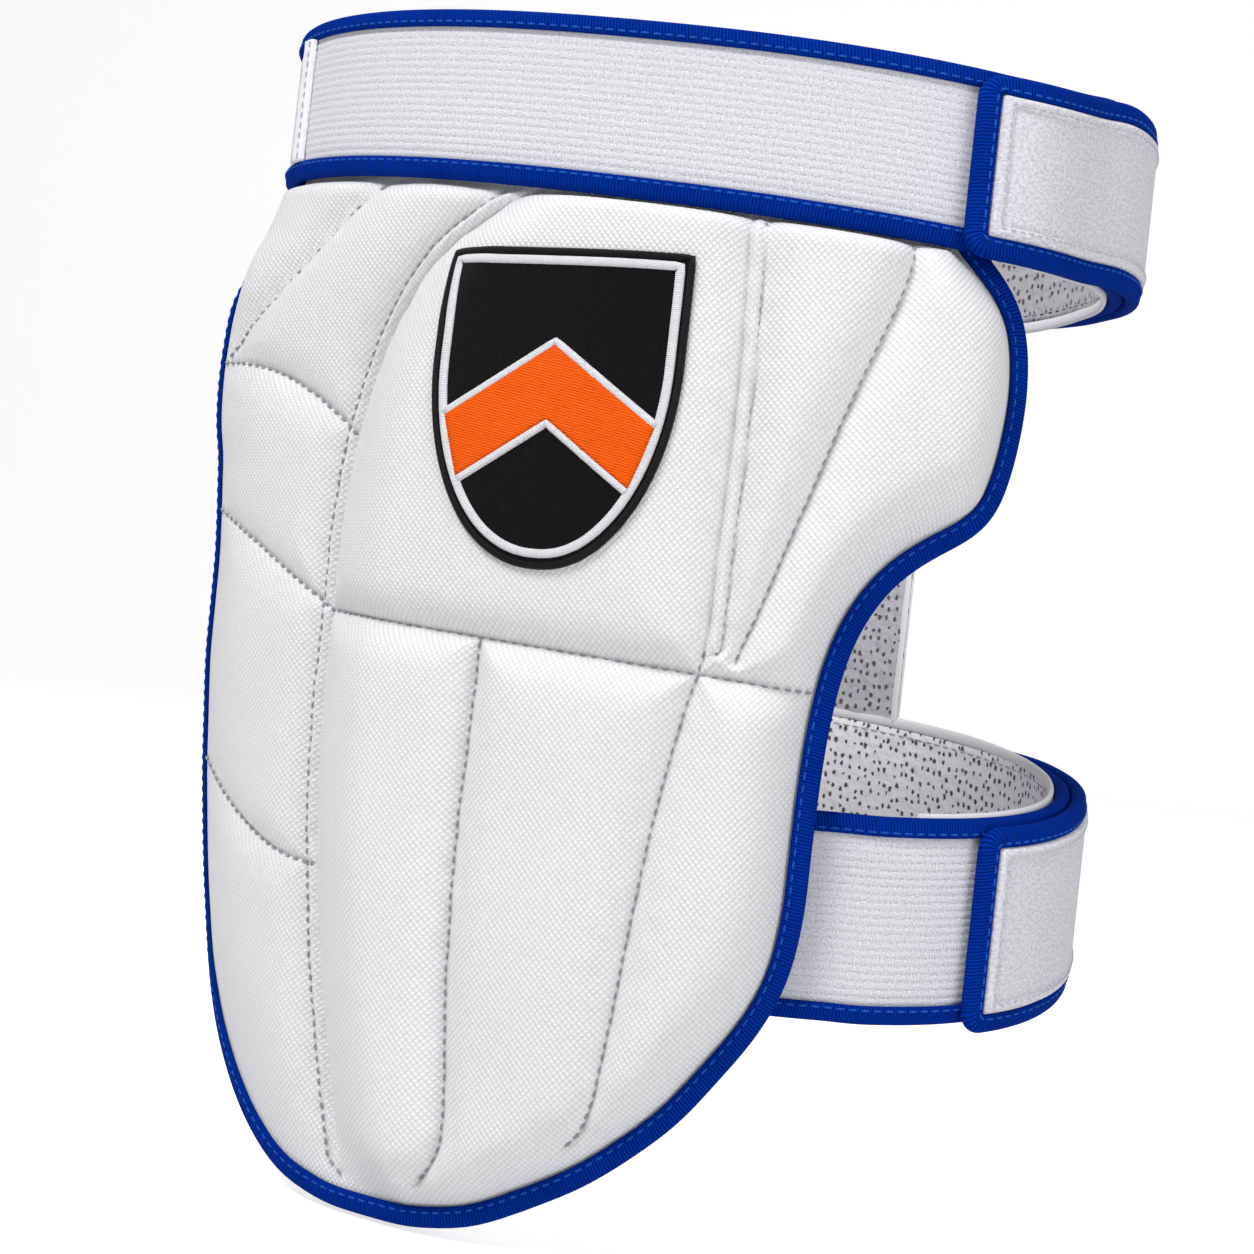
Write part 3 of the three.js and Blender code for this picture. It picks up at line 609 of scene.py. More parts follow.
class PieceMesh:
    """Gathers the grids and rings of one piece in millimetres, then makes its Blender object."""

    def __init__(self) -> None:
        """Starts an empty piece."""
        self.points: list[Array] = []
        self.creases: list[Array] = []
        self.faces: list[list[int]] = []
        self.corners: list[list[tuple[float, float]]] = []
        self.count = 0

    def add_points(self, points: Array, crease: Array | float = 0.0) -> int:
        """Adds points and returns the number of the first.

        Args:
            points: places, three values each.
            crease: how deep in a crease each lies, 0 to 1.

        Returns:
            The number of the first.
        """
        flat = np.asarray(points, float).reshape(-1, 3)
        first = self.count
        self.points.append(flat)
        self.creases.append(np.broadcast_to(np.asarray(crease, float).reshape(-1), (len(flat),)))
        self.count += len(flat)
        return first

    def add_grid(self, points: Array, u: Array, v: Array, crease: Array | float = 0.0,
                 loop_rows: bool = False, loop_columns: bool = False) -> Array:
        """Adds a grid of faces.

        Args:
            points: (rows, columns, 3) places.
            u: first cloth coordinate, one for each row, with one more for looped rows.
            v: second cloth coordinate, one for each column, with one more for looped columns.
            crease: how deep in a crease each point lies, 0 to 1.
            loop_rows: joins the last row to the first.
            loop_columns: joins the last column to the first.

        Returns:
            (rows, columns) numbers of the points.
        """
        rows, columns = points.shape[:2]
        first = self.add_points(points, crease)
        number = first + np.arange(rows * columns).reshape(rows, columns)
        shape = (rows + loop_rows, columns + loop_columns)
        us = np.broadcast_to(u[:, None] if np.ndim(u) == 1 else u, shape)
        vs = np.broadcast_to(v[None, :] if np.ndim(v) == 1 else v, shape)
        for i in range(shape[0] - 1):
            k = (i + 1) % rows
            for j in range(shape[1] - 1):
                m = (j + 1) % columns
                around = (number[i, j], number[i, m], number[k, m], number[k, j])
                self.faces.append([int(n) for n in around])
                self.corners.append([(us[i, j], vs[i, j]), (us[i, j + 1], vs[i, j + 1]),
                                     (us[i + 1, j + 1], vs[i + 1, j + 1]), (us[i + 1, j], vs[i + 1, j])])
        return number

    def add_face(self, numbers: Sequence[int]) -> None:
        """Adds one face over points that are there already."""
        self.faces.append([int(n) for n in numbers])
        self.corners.append([(0.0, 0.0)] * len(numbers))

    def add_sweep(self, rings: Array, u: Array, v: Array, loop: bool = False,
                  crease: Array | float = 0.0) -> None:
        """Adds a profile carried along a line, with flat ends unless it closes on itself.

        Args:
            rings: (places along the line, places round the profile, 3) places.
            u: distance along the line, with one more for a closed line.
            v: distance round the profile, with one more than its places.
            loop: closes on itself.
            crease: how deep in a crease each point lies, 0 to 1.
        """
        number = self.add_grid(rings, u, v, crease, loop_rows=loop, loop_columns=True)
        if not loop:
            self.add_face(number[0][::-1])
            self.add_face(number[-1])

    def add_slab(self, front: Array, back: Array, u: Array, v: Array, crease: Array | float = 0.0) -> None:
        """Adds two grids of the same size and the wall that joins their rims.

        Args:
            front: (rows, columns, 3) places of the face that is seen.
            back: the same for the other face.
            u: first cloth coordinate of both.
            v: second cloth coordinate of both.
            crease: how deep in a crease each point of the front lies, 0 to 1.
        """
        near = self.add_grid(front, u, v, crease)
        far = self.add_grid(back, u, v)
        rim = rim_of(near)
        for (i, j), (k, m) in zip(rim, np.roll(rim, -1, axis=0)):
            self.add_face([near[i, j], near[k, m], far[k, m], far[i, j]])

    def build(self, name: str, finish: Finish, slot: str, replaces: Sequence[str] = ()) -> bpy.types.Object:
        """Makes the object, dresses it and ties it to the part.

        Args:
            name: name of the piece.
            finish: its finish.
            slot: material slot of the record, not used.
            replaces: nodes of the solid model that it stands for.

        Returns:
            The object.
        """
        mesh = bpy.data.meshes.new(name)
        points = np.concatenate(self.points) * MM
        mesh.from_pydata(points.tolist(), [], self.faces)
        layer = mesh.uv_layers.new(name="cloth")
        flat = np.array([c for face in self.corners for corner in face for c in corner], np.float32)
        layer.data.foreach_set("uv", flat)
        # The crease share is the mask where the shell and elastic finishes paint shade.
        crease = mesh.attributes.new("crease", "FLOAT", "POINT")
        crease.data.foreach_set("value", np.concatenate(self.creases).astype(np.float32))
        mesh.materials.append(finish.material())
        shaped = bmesh.new()
        shaped.from_mesh(mesh)
        bmesh.ops.recalc_face_normals(shaped, faces=shaped.faces)
        shaped.to_mesh(mesh)
        shaped.free()
        mesh.polygons.foreach_set("use_smooth", np.ones(len(mesh.polygons), bool))
        made = bpy.data.objects.new(name, mesh)
        bpy.context.scene.collection.objects.link(made)
        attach(made, "root")
        if replaces:
            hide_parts(*replaces)
        log.info("%s: %d points, %d faces", name, len(mesh.vertices), len(mesh.polygons))
        return made


@dataclass(frozen=True)
class StitchRow:
    """A row of sewn stitches, with the (place, width, lift) of the rings along one stitch."""

    pitch: float
    length: float
    radius: float
    sides: int = 6
    flatness: float = 1.15
    shape: tuple[tuple[float, float, float], ...] = (
        (-1.0, 0.25, -0.16), (-0.7, 0.8, 0.0), (0.0, 1.0, 0.08), (0.7, 0.8, 0.0), (1.0, 0.25, -0.16),
    )

    def sew(self, piece: PieceMesh, line: Array, normals: Array) -> None:
        """Lays stitches along a line on a surface.

        Args:
            piece: where they go.
            line: (n, 3) points of the line.
            normals: (n, 3) directions off the surface.
        """
        steps = np.linalg.norm(np.diff(line, axis=0), axis=1)
        lengths = np.concatenate([[0], np.cumsum(steps)])
        total = lengths[-1]
        number = max(1, int(total / self.pitch))
        middles = (np.arange(number) + 0.5) * total / number
        half = self.length / 2
        angles = np.arange(self.sides) / self.sides * 2 * math.pi
        for middle in middles:
            places = [np.clip(middle + s * half, 0, total) for s, _, _ in self.shape]
            centre = np.stack([np.interp(places, lengths, line[:, k]) for k in range(3)], axis=1)
            up = np.stack([np.interp(places, lengths, normals[:, k]) for k in range(3)], axis=1)
            up /= np.linalg.norm(up, axis=1, keepdims=True)
            tangent = centre[-1] - centre[0]
            tangent /= max(np.linalg.norm(tangent), 1e-9)
            side = np.cross(up, tangent)
            rings = []
            for index, (_, width, lift) in enumerate(self.shape):
                radius = self.radius * width
                ring = centre[index] + up[index] * lift
                wide = np.outer(np.cos(angles) * radius * self.flatness, side[index])
                rings.append(ring + wide + np.outer(np.sin(angles) * radius, up[index]))
            u = np.array([s * half for s, _, _ in self.shape])
            v = np.arange(self.sides + 1) * 0.3
            piece.add_sweep(np.array(rings), u, v)


SEAM_STITCH = StitchRow(2.8, 1.7, 0.38)
TAPE_STITCH = StitchRow(2.9, 2.1, 0.24)
PATCH_STITCH = StitchRow(2.4, 1.8, 0.2)
LINING_STITCH = StitchRow(3.0, 2.2, 0.22)
HEM_STITCH = StitchRow(2.6, 1.9, 0.22)


# The worn form


@dataclass(frozen=True)
class ThighForm:
    """The thigh that the guard is worn on: a flattened round with a vertical axis."""

    width: float = 210.0
    depth: float = 128.0
    squareness: float = 2.3
    half_way: float = 10.7

    def place(self, turn: Array, height: Array, offset: Array) -> Array:
        """Place at a turn, a height and a distance off the thigh.

        Args:
            turn: degrees round the thigh.
            height: millimetres above the origin.
            offset: millimetres off the thigh.

        Returns:
            (..., 3) places.
        """
        turn, height, offset = np.broadcast_arrays(np.asarray(turn, float), height, offset)
        angle = np.radians(turn)
        half_width, half_depth = self.width / 2, self.depth / 2
        power = 2 / self.squareness
        sine, cosine = np.sin(angle), np.cos(angle)
        x = half_width * np.sign(sine) * np.abs(sine) ** power
        y = -half_depth * np.sign(cosine) * np.abs(cosine) ** power
        out_x = np.sign(x) * np.abs(x / half_width) ** (self.squareness - 1) / half_width
        out_y = np.sign(y) * np.abs(y / half_depth) ** (self.squareness - 1) / half_depth
        length = np.hypot(out_x, out_y)
        return np.stack([x + offset * out_x / length, y + offset * out_y / length, height], axis=-1)

    def _table(self) -> tuple[Array, Array]:
        """Turns and the girth lengths that belong to them.

        Returns:
            The turns in degrees and the lengths.
        """
        turns = np.arange(0, 360.01, 0.5)
        points = self.place(turns, 0.0, self.half_way)
        steps = np.linalg.norm(np.diff(points, axis=0), axis=1)
        return turns, np.concatenate([[0], np.cumsum(steps)])

    def length_at(self, turn: Array | float) -> Array:
        """Distance round the thigh at a turn, half way through the padding."""
        turns, lengths = self._table()
        return np.sign(turn) * np.interp(np.abs(turn), turns, lengths)

    def turn_at(self, length: Array | float) -> Array:
        """Turn at a distance round the thigh."""
        turns, lengths = self._table()
        return np.sign(length) * np.interp(np.abs(length), lengths, turns)


THIGH = ThighForm()
CLEAR = 0.3


class Layer(Enum):
    """The layers of a strap loop."""

    FRONT = "front"
    BACK = "back"
    LINING = "lining"


@dataclass(frozen=True)
class StrapLoop:
    """Place and size of a strap loop round the thigh."""

    floor: float
    width: float
    slope_across: float
    slope_back: float
    front_start: float
    back_start: float
    tab_end: float
    tab_dip: float
    side_lift: float
    side_spread: float
    front_end: float = 112.5
    depth: float = 3.8
    snug: float = 1.9
    over_pad: float = 12.4

    def front_offset(self, turn: Array) -> Array:
        """Distance of the front section off the thigh."""
        raise NotImplementedError

    def wrap_offset(self, turn: Array) -> Array:
        """Distance of the back section off the thigh."""
        raise NotImplementedError

    def offset(self, layer: Layer, turn: Array) -> Array:
        """Distance of a layer's inner face off the thigh.

        Args:
            layer: which layer.
            turn: degrees round the thigh, negative for the back layer.

        Returns:
            The distances.
        """
        if layer is Layer.FRONT:
            return self.front_offset(turn)
        if layer is Layer.BACK:
            on_front = self.front_offset(turn + 360) + self.depth + CLEAR
            return mix(on_front, self.wrap_offset(turn), smooth(turn, -244, -222))
        back = np.minimum(self.offset(Layer.BACK, turn - 360), self.over_pad)
        return mix(self.front_offset(turn), back, smooth(turn, 140, 141)) - self.snug

    def floor_at(self, base: Array) -> Array:
        """Height of the strap's lower edge over a place on the thigh."""
        return self.floor + self.slope_across * base[..., 0] + self.slope_back * base[..., 1]

    def place(self, layer: Layer, turn: Array, across: Array, out: Array) -> Array:
        """Place on a layer of the strap.

        Args:
            layer: which layer.
            turn: degrees round the thigh.
            across: millimetres up from the lower edge.
            out: millimetres off the layer's inner face.

        Returns:
            (..., 3) places.
        """
        turn, across, out = np.broadcast_arrays(np.asarray(turn, float), across, out)
        offset = self.offset(layer, turn)
        base = THIGH.place(turn, 0.0, offset)
        around = np.mod(turn + 360, 360)
        share = smooth(around, 42, 76) * (1 - smooth(around, 108, 142))
        rise = share * (self.side_lift + self.side_spread * across / self.width)
        shift = -self.tab_dip * (1 - smooth(turn, -300, -262)) if layer is Layer.BACK else 0.0
        height = self.floor_at(base) + shift + across + rise
        return THIGH.place(turn, height, offset + out)


class UpperLoop(StrapLoop):
    """The loop over the top of the padding."""

    def front_offset(self, turn: Array) -> Array:
        """Over the padding at the front, down on the thigh at the side."""
        return mix(self.over_pad, self.snug, smooth(turn, 44, 67))

    def wrap_offset(self, turn: Array) -> Array:
        """On the thigh at the back, up on the padding at the wrapped side."""
        return mix(self.snug, self.over_pad, smooth(turn, -108, -79))


class LowerLoop(StrapLoop):
    """The loop behind the padding, low on the thigh."""

    def front_offset(self, turn: Array) -> Array:
        """On the thigh, pressed in a little under the padding's edge."""
        return self.snug - 1.1 * (smooth(turn, 12, 22) - smooth(turn, 31, 39))

    def wrap_offset(self, turn: Array) -> Array:
        """On the thigh all round."""
        return np.full(np.shape(turn), self.snug)


PAD_SIDE_SEAM = -60.0
UPPER = UpperLoop(71.0, 41.6, -0.084, 0.053, PAD_SIDE_SEAM,
                  float(THIGH.turn_at(THIGH.length_at(PAD_SIDE_SEAM) - CLEAR)), 38.0, 1.5, 3.4, 3.8)
LOWER = LowerLoop(-106.5, 48.5, -0.033, 0.167, -7.5, -22.5, 54.5, 1.2, 0.0, 0.0)


# Quilted panel


class Section(NamedTuple):
    """Places of the quilting lines at a drop, as shares."""

    drop: float
    left: float
    side: float
    middle: float
    inner: float
    outer: float
    right: float
    flare: float


class Sewn(Enum):
    """How far a row of the quilt is sewn."""

    NOT = "not"
    SIDE = "over the wrapped side"
    ACROSS = "all the way across"


class Band(NamedTuple):
    """A row of the quilt, how it climbs and falls, and the steps to the next."""

    drop: float
    rise: float
    bend: float
    fall: float
    cells: int
    sewn: Sewn


class ColumnSeam(NamedTuple):
    """A sewn line down a column between two drops, with a raised band on its left (-1), right (1) or none."""

    column: str
    start: float
    end: float
    band: int


SECTIONS = tuple(Section(*row) for row in (
    (0.000, -0.915, -0.080, 0.080, 0.230, 0.450, 0.530, 0.000),
    (0.100, -0.925, -0.130, 0.020, 0.230, 0.495, 0.540, 0.050),
    (0.145, -0.928, -0.260, -0.050, 0.231, 0.512, 0.585, 0.340),
    (0.168, -0.930, -0.335, -0.080, 0.232, 0.512, 0.640, 0.580),
    (0.191, -0.930, -0.390, -0.102, 0.235, 0.502, 0.688, 0.790),
    (0.216, -0.930, -0.432, -0.122, 0.237, 0.486, 0.714, 0.930),
    (0.256, -0.930, -0.485, -0.148, 0.240, 0.456, 0.726, 0.990),
    (0.292, -0.930, -0.515, -0.158, 0.240, 0.430, 0.722, 1.000),
    (0.330, -0.930, -0.537, -0.162, 0.240, 0.405, 0.708, 0.960),
    (0.362, -0.930, -0.550, -0.165, 0.239, 0.385, 0.678, 0.870),
    (0.394, -0.930, -0.557, -0.168, 0.238, 0.363, 0.578, 0.820),
    (0.421, -0.930, -0.561, -0.171, 0.236, 0.346, 0.515, 0.780),
    (0.461, -0.930, -0.561, -0.175, 0.236, 0.320, 0.463, 0.735),
    (0.505, -0.930, -0.558, -0.178, 0.232, 0.289, 0.434, 0.720),
    (0.557, -0.930, -0.560, -0.178, 0.208, 0.258, 0.419, 0.700),
    (0.616, -0.930, -0.555, -0.180, 0.186, 0.262, 0.413, 0.620),
    (0.663, -0.930, -0.546, -0.182, 0.172, 0.291, 0.412, 0.550),
    (0.713, -0.930, -0.532, -0.180, 0.160, 0.285, 0.410, 0.450),
    (0.762, -0.930, -0.512, -0.175, 0.150, 0.270, 0.393, 0.340),
    (0.803, -0.922, -0.494, -0.170, 0.142, 0.246, 0.353, 0.240),
    (0.844, -0.897, -0.471, -0.161, 0.133, 0.212, 0.292, 0.140),
    (0.879, -0.832, -0.450, -0.153, 0.122, 0.172, 0.235, 0.060),
    (0.911, -0.755, -0.430, -0.147, 0.095, 0.130, 0.162, 0.020),
    (0.940, -0.680, -0.410, -0.150, 0.025, 0.055, 0.083, 0.000),
    (0.967, -0.600, -0.390, -0.180, -0.070, -0.042, -0.016, 0.000),
    (0.990, -0.505, -0.370, -0.245, -0.170, -0.142, -0.118, 0.000),
    (1.000, -0.400, -0.350, -0.300, -0.260, -0.240, -0.225, 0.000),
))
BANDS = (
    Band(0.015, 0.020, 0.0, 0.030, 12, Sewn.NOT),
    Band(0.342, 0.070, 1.0, 0.012, 6, Sewn.SIDE),
    Band(0.500, 0.087, 0.0, 0.026, 7, Sewn.ACROSS),
    Band(0.729, 0.075, -1.0, 0.000, 7, Sewn.SIDE),
    Band(0.940, 0.015, 0.0, 0.000, 3, Sewn.NOT),
    Band(1.000, 0.000, 0.0, 0.000, 0, Sewn.NOT),
)
COLUMNS = (("left", 7), ("side", 5), ("middle", 5), ("inner", 4), ("outer", 4), ("right", 0))
COLUMN_SEAMS = (
    ColumnSeam("side", 0.09, 0.99, -1),
    ColumnSeam("middle", 0.512, 0.97, 0),
    ColumnSeam("inner", 0.10, 0.506, 1),
    ColumnSeam("inner", 0.50, 0.92, 0),
    ColumnSeam("outer", 0.10, 0.508, 0),
)
SHOULDER_SEAM = (
    (-0.470, 0.105), (-0.575, 0.132), (-0.680, 0.170), (-0.785, 0.210), (-0.870, 0.245), (-0.915, 0.268),
)


@dataclass
class QuiltedPanel:
    """The padded panel: white quilted shell, inner cloth, sewn seams and blue bound edge."""

    top: float = 103.5
    height: float = 277.6
    reach: float = 128.0
    stand_off: float = 6.5
    margin: float = 4.2
    rim_taper: float = 0.3
    main_depth: float = 17.5
    side_depth: float = 8.0
    edge_rise: float = 15.0
    side_edge_rise: float = 22.0
    seam_rise: float = 10.5
    groove_share: float = 0.4
    side_flare: float = 22.4
    flare_start: float = 0.45
    flare_power: float = 2.5
    side_blend: float = 28.0
    strap_shelf: float = 0.1
    band_width: float = 3.4
    fineness: int = 7
    gather: float = 0.7
    tape_width: float = 4.3
    tape_wall: float = 0.6
    corner_ease: float = 3.2
    shoulder_depth: float = 11.5
    shoulder_rise: float = 13.0
    low_side_rise: float = 32.0
    strap_rise: float = 4.5
    side_groove_share: float = 0.75
    side_valley: float = 1.2
    broad_rise: float = 30.0
    broad_share: float = 0.16
    edge_power: float = 2.2
    seam_power: float = 2.4
    broad_power: float = 2.0
    shoulder_drops: tuple[float, float] = (0.16, 0.30)
    low_side_drops: tuple[float, float] = (0.5, 0.75)
    band_rise: float = 0.5
    stitch_pull: float = 0.6
    valley_width: float = 5.5
    pucker: float = 0.28
    pucker_reach: float = 5.0
    pucker_wave: float = 7.5
    swell: float = 0.4
    swell_wave: float = 46.0
    rim_reach: float = 3.9
    back_lift: float = 1.15
    inner_cloth_depth: float = 0.9
    inner_cloth_pinch: float = 0.55
    seams: list[Array] = field(default_factory=list)
    banded: list[tuple[ColumnSeam, Array]] = field(default_factory=list)

    def __post_init__(self) -> None:
        """Lays out the quilt, its seams and its outline."""
        self.grid = self._grid()
        self._lay_seams()
        self.edge = self._edge()

    def column(self, name: str, drop: Array) -> Array:
        """Smooth value of a named column of the sections at a drop.

        Args:
            name: the column.
            drop: shares of the panel's height from its top.

        Returns:
            The values.
        """
        xs = np.array([row.drop for row in SECTIONS])
        ys = np.array([getattr(row, name) for row in SECTIONS])
        slopes = np.empty_like(ys)
        slopes[1:-1] = (ys[2:] - ys[:-2]) / (xs[2:] - xs[:-2])
        slopes[0] = (ys[1] - ys[0]) / (xs[1] - xs[0])
        slopes[-1] = (ys[-1] - ys[-2]) / (xs[-1] - xs[-2])
        at = np.clip(drop, 0, xs[-1])
        low = np.clip(np.searchsorted(xs, at, side="right") - 1, 0, len(xs) - 2)
        span = xs[low + 1] - xs[low]
        t = (at - xs[low]) / span
        curve = (2 * t**3 - 3 * t**2 + 1) * ys[low] + (t**3 - 2 * t**2 + t) * span * slopes[low]
        return curve + (3 * t**2 - 2 * t**3) * ys[low + 1] + (t**3 - t**2) * span * slopes[low + 1]

    def height_at(self, drop: Array | float) -> Array:
        """Height above the origin at a drop."""
        return self.top - np.asarray(drop, float) * self.height

    def _shares(self, cells: int) -> Array:
        """Steps from one quilting line towards the next, closer together near both.

        Args:
            cells: cells between the two lines.

        Returns:
            Shares of the way, from 0 to below 1.
        """
        steps = max(1, cells * self.fineness)
        share = np.arange(steps) / steps
        return share - self.gather * np.sin(2 * math.pi * share) / (2 * math.pi)

    def _grid(self) -> Array:
        """Places of the quilt's grid, whose lines follow the quilting lines.

        Returns:
            (rows, columns, 2) distances round the thigh and heights.
        """
        rows = []
        for index, band in enumerate(BANDS):
            after = BANDS[min(index + 1, len(BANDS) - 1)]
            for share in self._shares(band.cells):
                names = ("drop", "rise", "bend", "fall")
                rows.append([mix(getattr(band, name), getattr(after, name), share) for name in names])
        places = []
        for drop, rise, bend, fall in rows:
            lines = [self.column(name, drop) for name, _ in COLUMNS]
            lines[0] = self.column("left", drop - rise)
            lines[-1] = self.column("right", drop + fall)
            left, side, right = lines[0], lines[1], lines[-1]
            across = []
            for index, (_, cells) in enumerate(COLUMNS):
                target = lines[min(index + 1, len(lines) - 1)]
                across += [mix(lines[index], target, share) for share in self._shares(cells)]
            across = np.array(across)
            climb = np.maximum(0, (across - side) / (left - side))
            descent = np.maximum(0, (across - side) / (right - side))
            lift = rise * (climb + bend * climb * (1 - climb))
            level = self.height_at(drop - lift + fall * descent)
            places.append(np.stack([across * self.reach, level], axis=-1))
        return np.array(places)

    def _lay_seams(self) -> None:
        """Lays the sewn lines as polylines."""
        for seam in COLUMN_SEAMS:
            drops = np.linspace(seam.start, seam.end, 60)
            run = np.stack([self.column(seam.column, drops) * self.reach, self.height_at(drops)], axis=-1)
            if seam.band:
                self.banded.append((seam, run))
            else:
                self.seams.append(run)
        shoulder = np.array([(a * self.reach, self.height_at(d)) for a, d in SHOULDER_SEAM])
        fine = np.linspace(0, len(shoulder) - 1, 33)
        bends = [np.interp(fine, np.arange(len(shoulder)), shoulder[:, k]) for k in range(2)]
        self.seams.append(np.stack(bends, axis=-1))
        row = 0
        for band in BANDS:
            if band.sewn is not Sewn.NOT:
                fine_row = self.grid[row * self.fineness]
                end = None if band.sewn is Sewn.ACROSS else COLUMNS[0][1] * self.fineness + 1
                self.seams.append(fine_row[:end][::2])
            row += band.cells

    def _edge(self) -> dict[str, Array]:
        """Softened outline of the quilted field with the directions that lead out of it.

        Returns:
            The places, the eased places and the directions.
        """
        per_mm = 2
        rim = rim_of(self.grid)
        line = self.grid[rim[:, 0], rim[:, 1]]
        steps = np.linalg.norm(np.diff(np.vstack([line, line[:1]]), axis=0), axis=1)
        lengths = np.concatenate([[0], np.cumsum(steps)])
        even = np.linspace(0, lengths[-1], int(lengths[-1] * per_mm), endpoint=False)
        closed = np.vstack([line, line[:1]])
        samples = np.stack([np.interp(even, lengths, closed[:, k]) for k in range(2)], axis=-1)
        reach = int(3 * self.corner_ease * per_mm)
        weights = np.exp(-0.5 * (np.arange(-reach, reach + 1) / (self.corner_ease * per_mm)) ** 2)
        weights /= weights.sum()
        eased = sum(w * np.roll(samples, k, axis=0) for k, w in zip(range(-reach, reach + 1), weights))
        tangent = np.roll(eased, -2 * per_mm, axis=0) - np.roll(eased, 2 * per_mm, axis=0)
        tangent /= np.linalg.norm(tangent, axis=1, keepdims=True)
        out = np.stack([tangent[:, 1], -tangent[:, 0]], axis=-1)
        if np.mean(np.sum(out * (eased - line.mean(axis=0)), axis=1)) < 0:
            out = -out
        at = lengths[:-1]
        values = np.concatenate([eased, out], axis=1)
        back = np.stack([np.interp(at, even, values[:, k], period=lengths[-1]) for k in range(4)], axis=-1)
        return {"line": line, "eased": back[:, :2], "out": back[:, 2:]}

    def flare(self, along: Array, height: Array) -> Array:
        """How far the wrapped side stands off the thigh.

        Args:
            along: place round the thigh.
            height: place up it.

        Returns:
            The distance.
        """
        share = np.maximum(0, (-along / self.reach - self.flare_start) / (1 - self.flare_start))
        part = self.column("flare", (self.top - height) / self.height)
        return self.side_flare * part * share**self.flare_power

    def _band_at(self, seam: ColumnSeam, drop: Array) -> Array:
        """Width of a seam's raised band at a drop, drawn in at both ends of the seam."""
        share = smooth(drop, seam.start, seam.start + 0.02) * (1 - smooth(drop, seam.end - 0.004, seam.end))
        return self.band_width * share

    def _seam_gap(self, along: Array, height: Array) -> tuple[Array, Array]:
        """Distance to the nearest sewn line, and how far a place is up a seam's raised band.

        Args:
            along: distances round the thigh.
            height: heights above the origin.

        Returns:
            The distances, and the bands' shares.
        """
        gap = distance_to_runs(along, height, self.seams)
        band = np.zeros(np.shape(along))
        drop = (self.top - height) / self.height
        for seam, run in self.banded:
            far = distance_to_runs(along, height, [run])
            beside = seam.band * (along - self.column(seam.column, drop) * self.reach)
            signed = np.where(beside > 0, far, -far)
            width = self._band_at(seam, drop)
            share = np.clip(signed / np.maximum(width, 0.01), 0, 1)
            band = np.maximum(band, 4 * share * (1 - share) * width / self.band_width)
            gap = np.minimum(gap, np.minimum(far, np.abs(signed - width)))
        return gap, band

    def depth(self, along: Array, height: Array) -> tuple[Array, Array]:
        """Thickness of the padding at a place.

        Args:
            along: distances round the thigh.
            height: heights above the origin.

        Returns:
            The thickness, and how deep in a sewn crease the place lies.
        """
        along, height = np.broadcast_arrays(np.asarray(along, float), np.asarray(height, float))
        drop = (self.top - height) / self.height
        side_seam = self.column("side", drop) * self.reach
        side_share = smooth(side_seam - along, 3 - self.side_blend, 3)
        shoulder = 1 - smooth(drop, *self.shoulder_drops)
        full = mix(self.main_depth, mix(self.side_depth, self.shoulder_depth, shoulder), side_share)
        over = THIGH.place(THIGH.turn_at(along), 0.0, UPPER.over_pad)
        below = np.maximum(0, UPPER.floor_at(over) - height - self.strap_shelf)
        closed = np.vstack([self.edge["line"], self.edge["line"][:1]])[::2]
        to_edge = distance_to_runs(along, height, [np.vstack([closed, closed[:1]])])
        to_seam, band = self._seam_gap(along, height)
        side_rise = mix(self.side_edge_rise, self.shoulder_rise, shoulder)
        side_rise = mix(side_rise, self.low_side_rise, smooth(drop, *self.low_side_drops))
        edge_rise = mix(self.edge_rise, side_rise, side_share)
        nearest = np.minimum(to_edge / edge_rise, below / self.strap_rise)
        rise = crown(nearest, self.edge_power)
        domed = crown(to_seam / self.seam_rise, self.seam_power)
        groove_share = mix(self.groove_share, self.side_groove_share, side_share * (1 - shoulder))
        broad = crown(np.minimum(to_seam, to_edge) / self.broad_rise, self.broad_power)
        climb = rise * (1 - groove_share * (1 - domed)) * (1 - self.broad_share * (1 - broad))
        # How deep in a sewn crease: the shell's finish paints shade there.
        crease = np.exp(-((to_seam / 0.8) ** 2))
        near = np.exp(-to_seam / self.pucker_reach) * smooth(to_edge, 1, 6)
        thick = self.margin + (full - self.margin) * climb
        thick += rise * (self.band_rise * band - self.stitch_pull * np.exp(-(to_seam**2)))
        valley = np.exp(-(((side_seam - along - self.band_width / 2) / self.valley_width) ** 2))
        thick -= self.side_valley * rise * valley * smooth(drop, 0.1, 0.16)
        thick += self.pucker * near * ripple(along, height, self.pucker_wave)
        thick += self.swell * rise * domed * ripple(along, height, self.swell_wave)
        return thick, crease * smooth(to_edge, 0.5, 3)

    def place(self, along: Array, height: Array, out: Array, flare: Array | None = None) -> Array:
        """Place at a distance off the panel's back."""
        lift = self.flare(along, height) if flare is None else flare
        return THIGH.place(THIGH.turn_at(along), height, self.stand_off + lift + out)

    def surface(self, along: Array, height: Array, lift: float = 0.0) -> tuple[Array, Array]:
        """Place on the padding's face, with the direction off it.

        Args:
            along: distances round the thigh.
            height: heights above the origin.
            lift: distance above the face.

        Returns:
            The places and the unit directions.
        """
        along, height = np.asarray(along, float), np.asarray(height, float)
        step = 0.5
        face = self.place(along, height, self.depth(along, height)[0])
        right = self.place(along + step, height, self.depth(along + step, height)[0])
        up = self.place(along, height + step, self.depth(along, height + step)[0])
        out = np.cross(right - face, up - face)
        out /= np.linalg.norm(out, axis=-1, keepdims=True)
        return face + out * lift, out

    def rim_point(self, beyond: float, out: float) -> Array:
        """Places round the rim, a distance out of the field.

        Args:
            beyond: distance out of the field.
            out: distance off the thigh.

        Returns:
            (n, 3) places.
        """
        line = self.edge["eased"] + self.edge["out"] * beyond
        flare = self.flare(self.edge["eased"][:, 0], self.edge["eased"][:, 1])
        return self.place(line[:, 0], line[:, 1], out, flare)

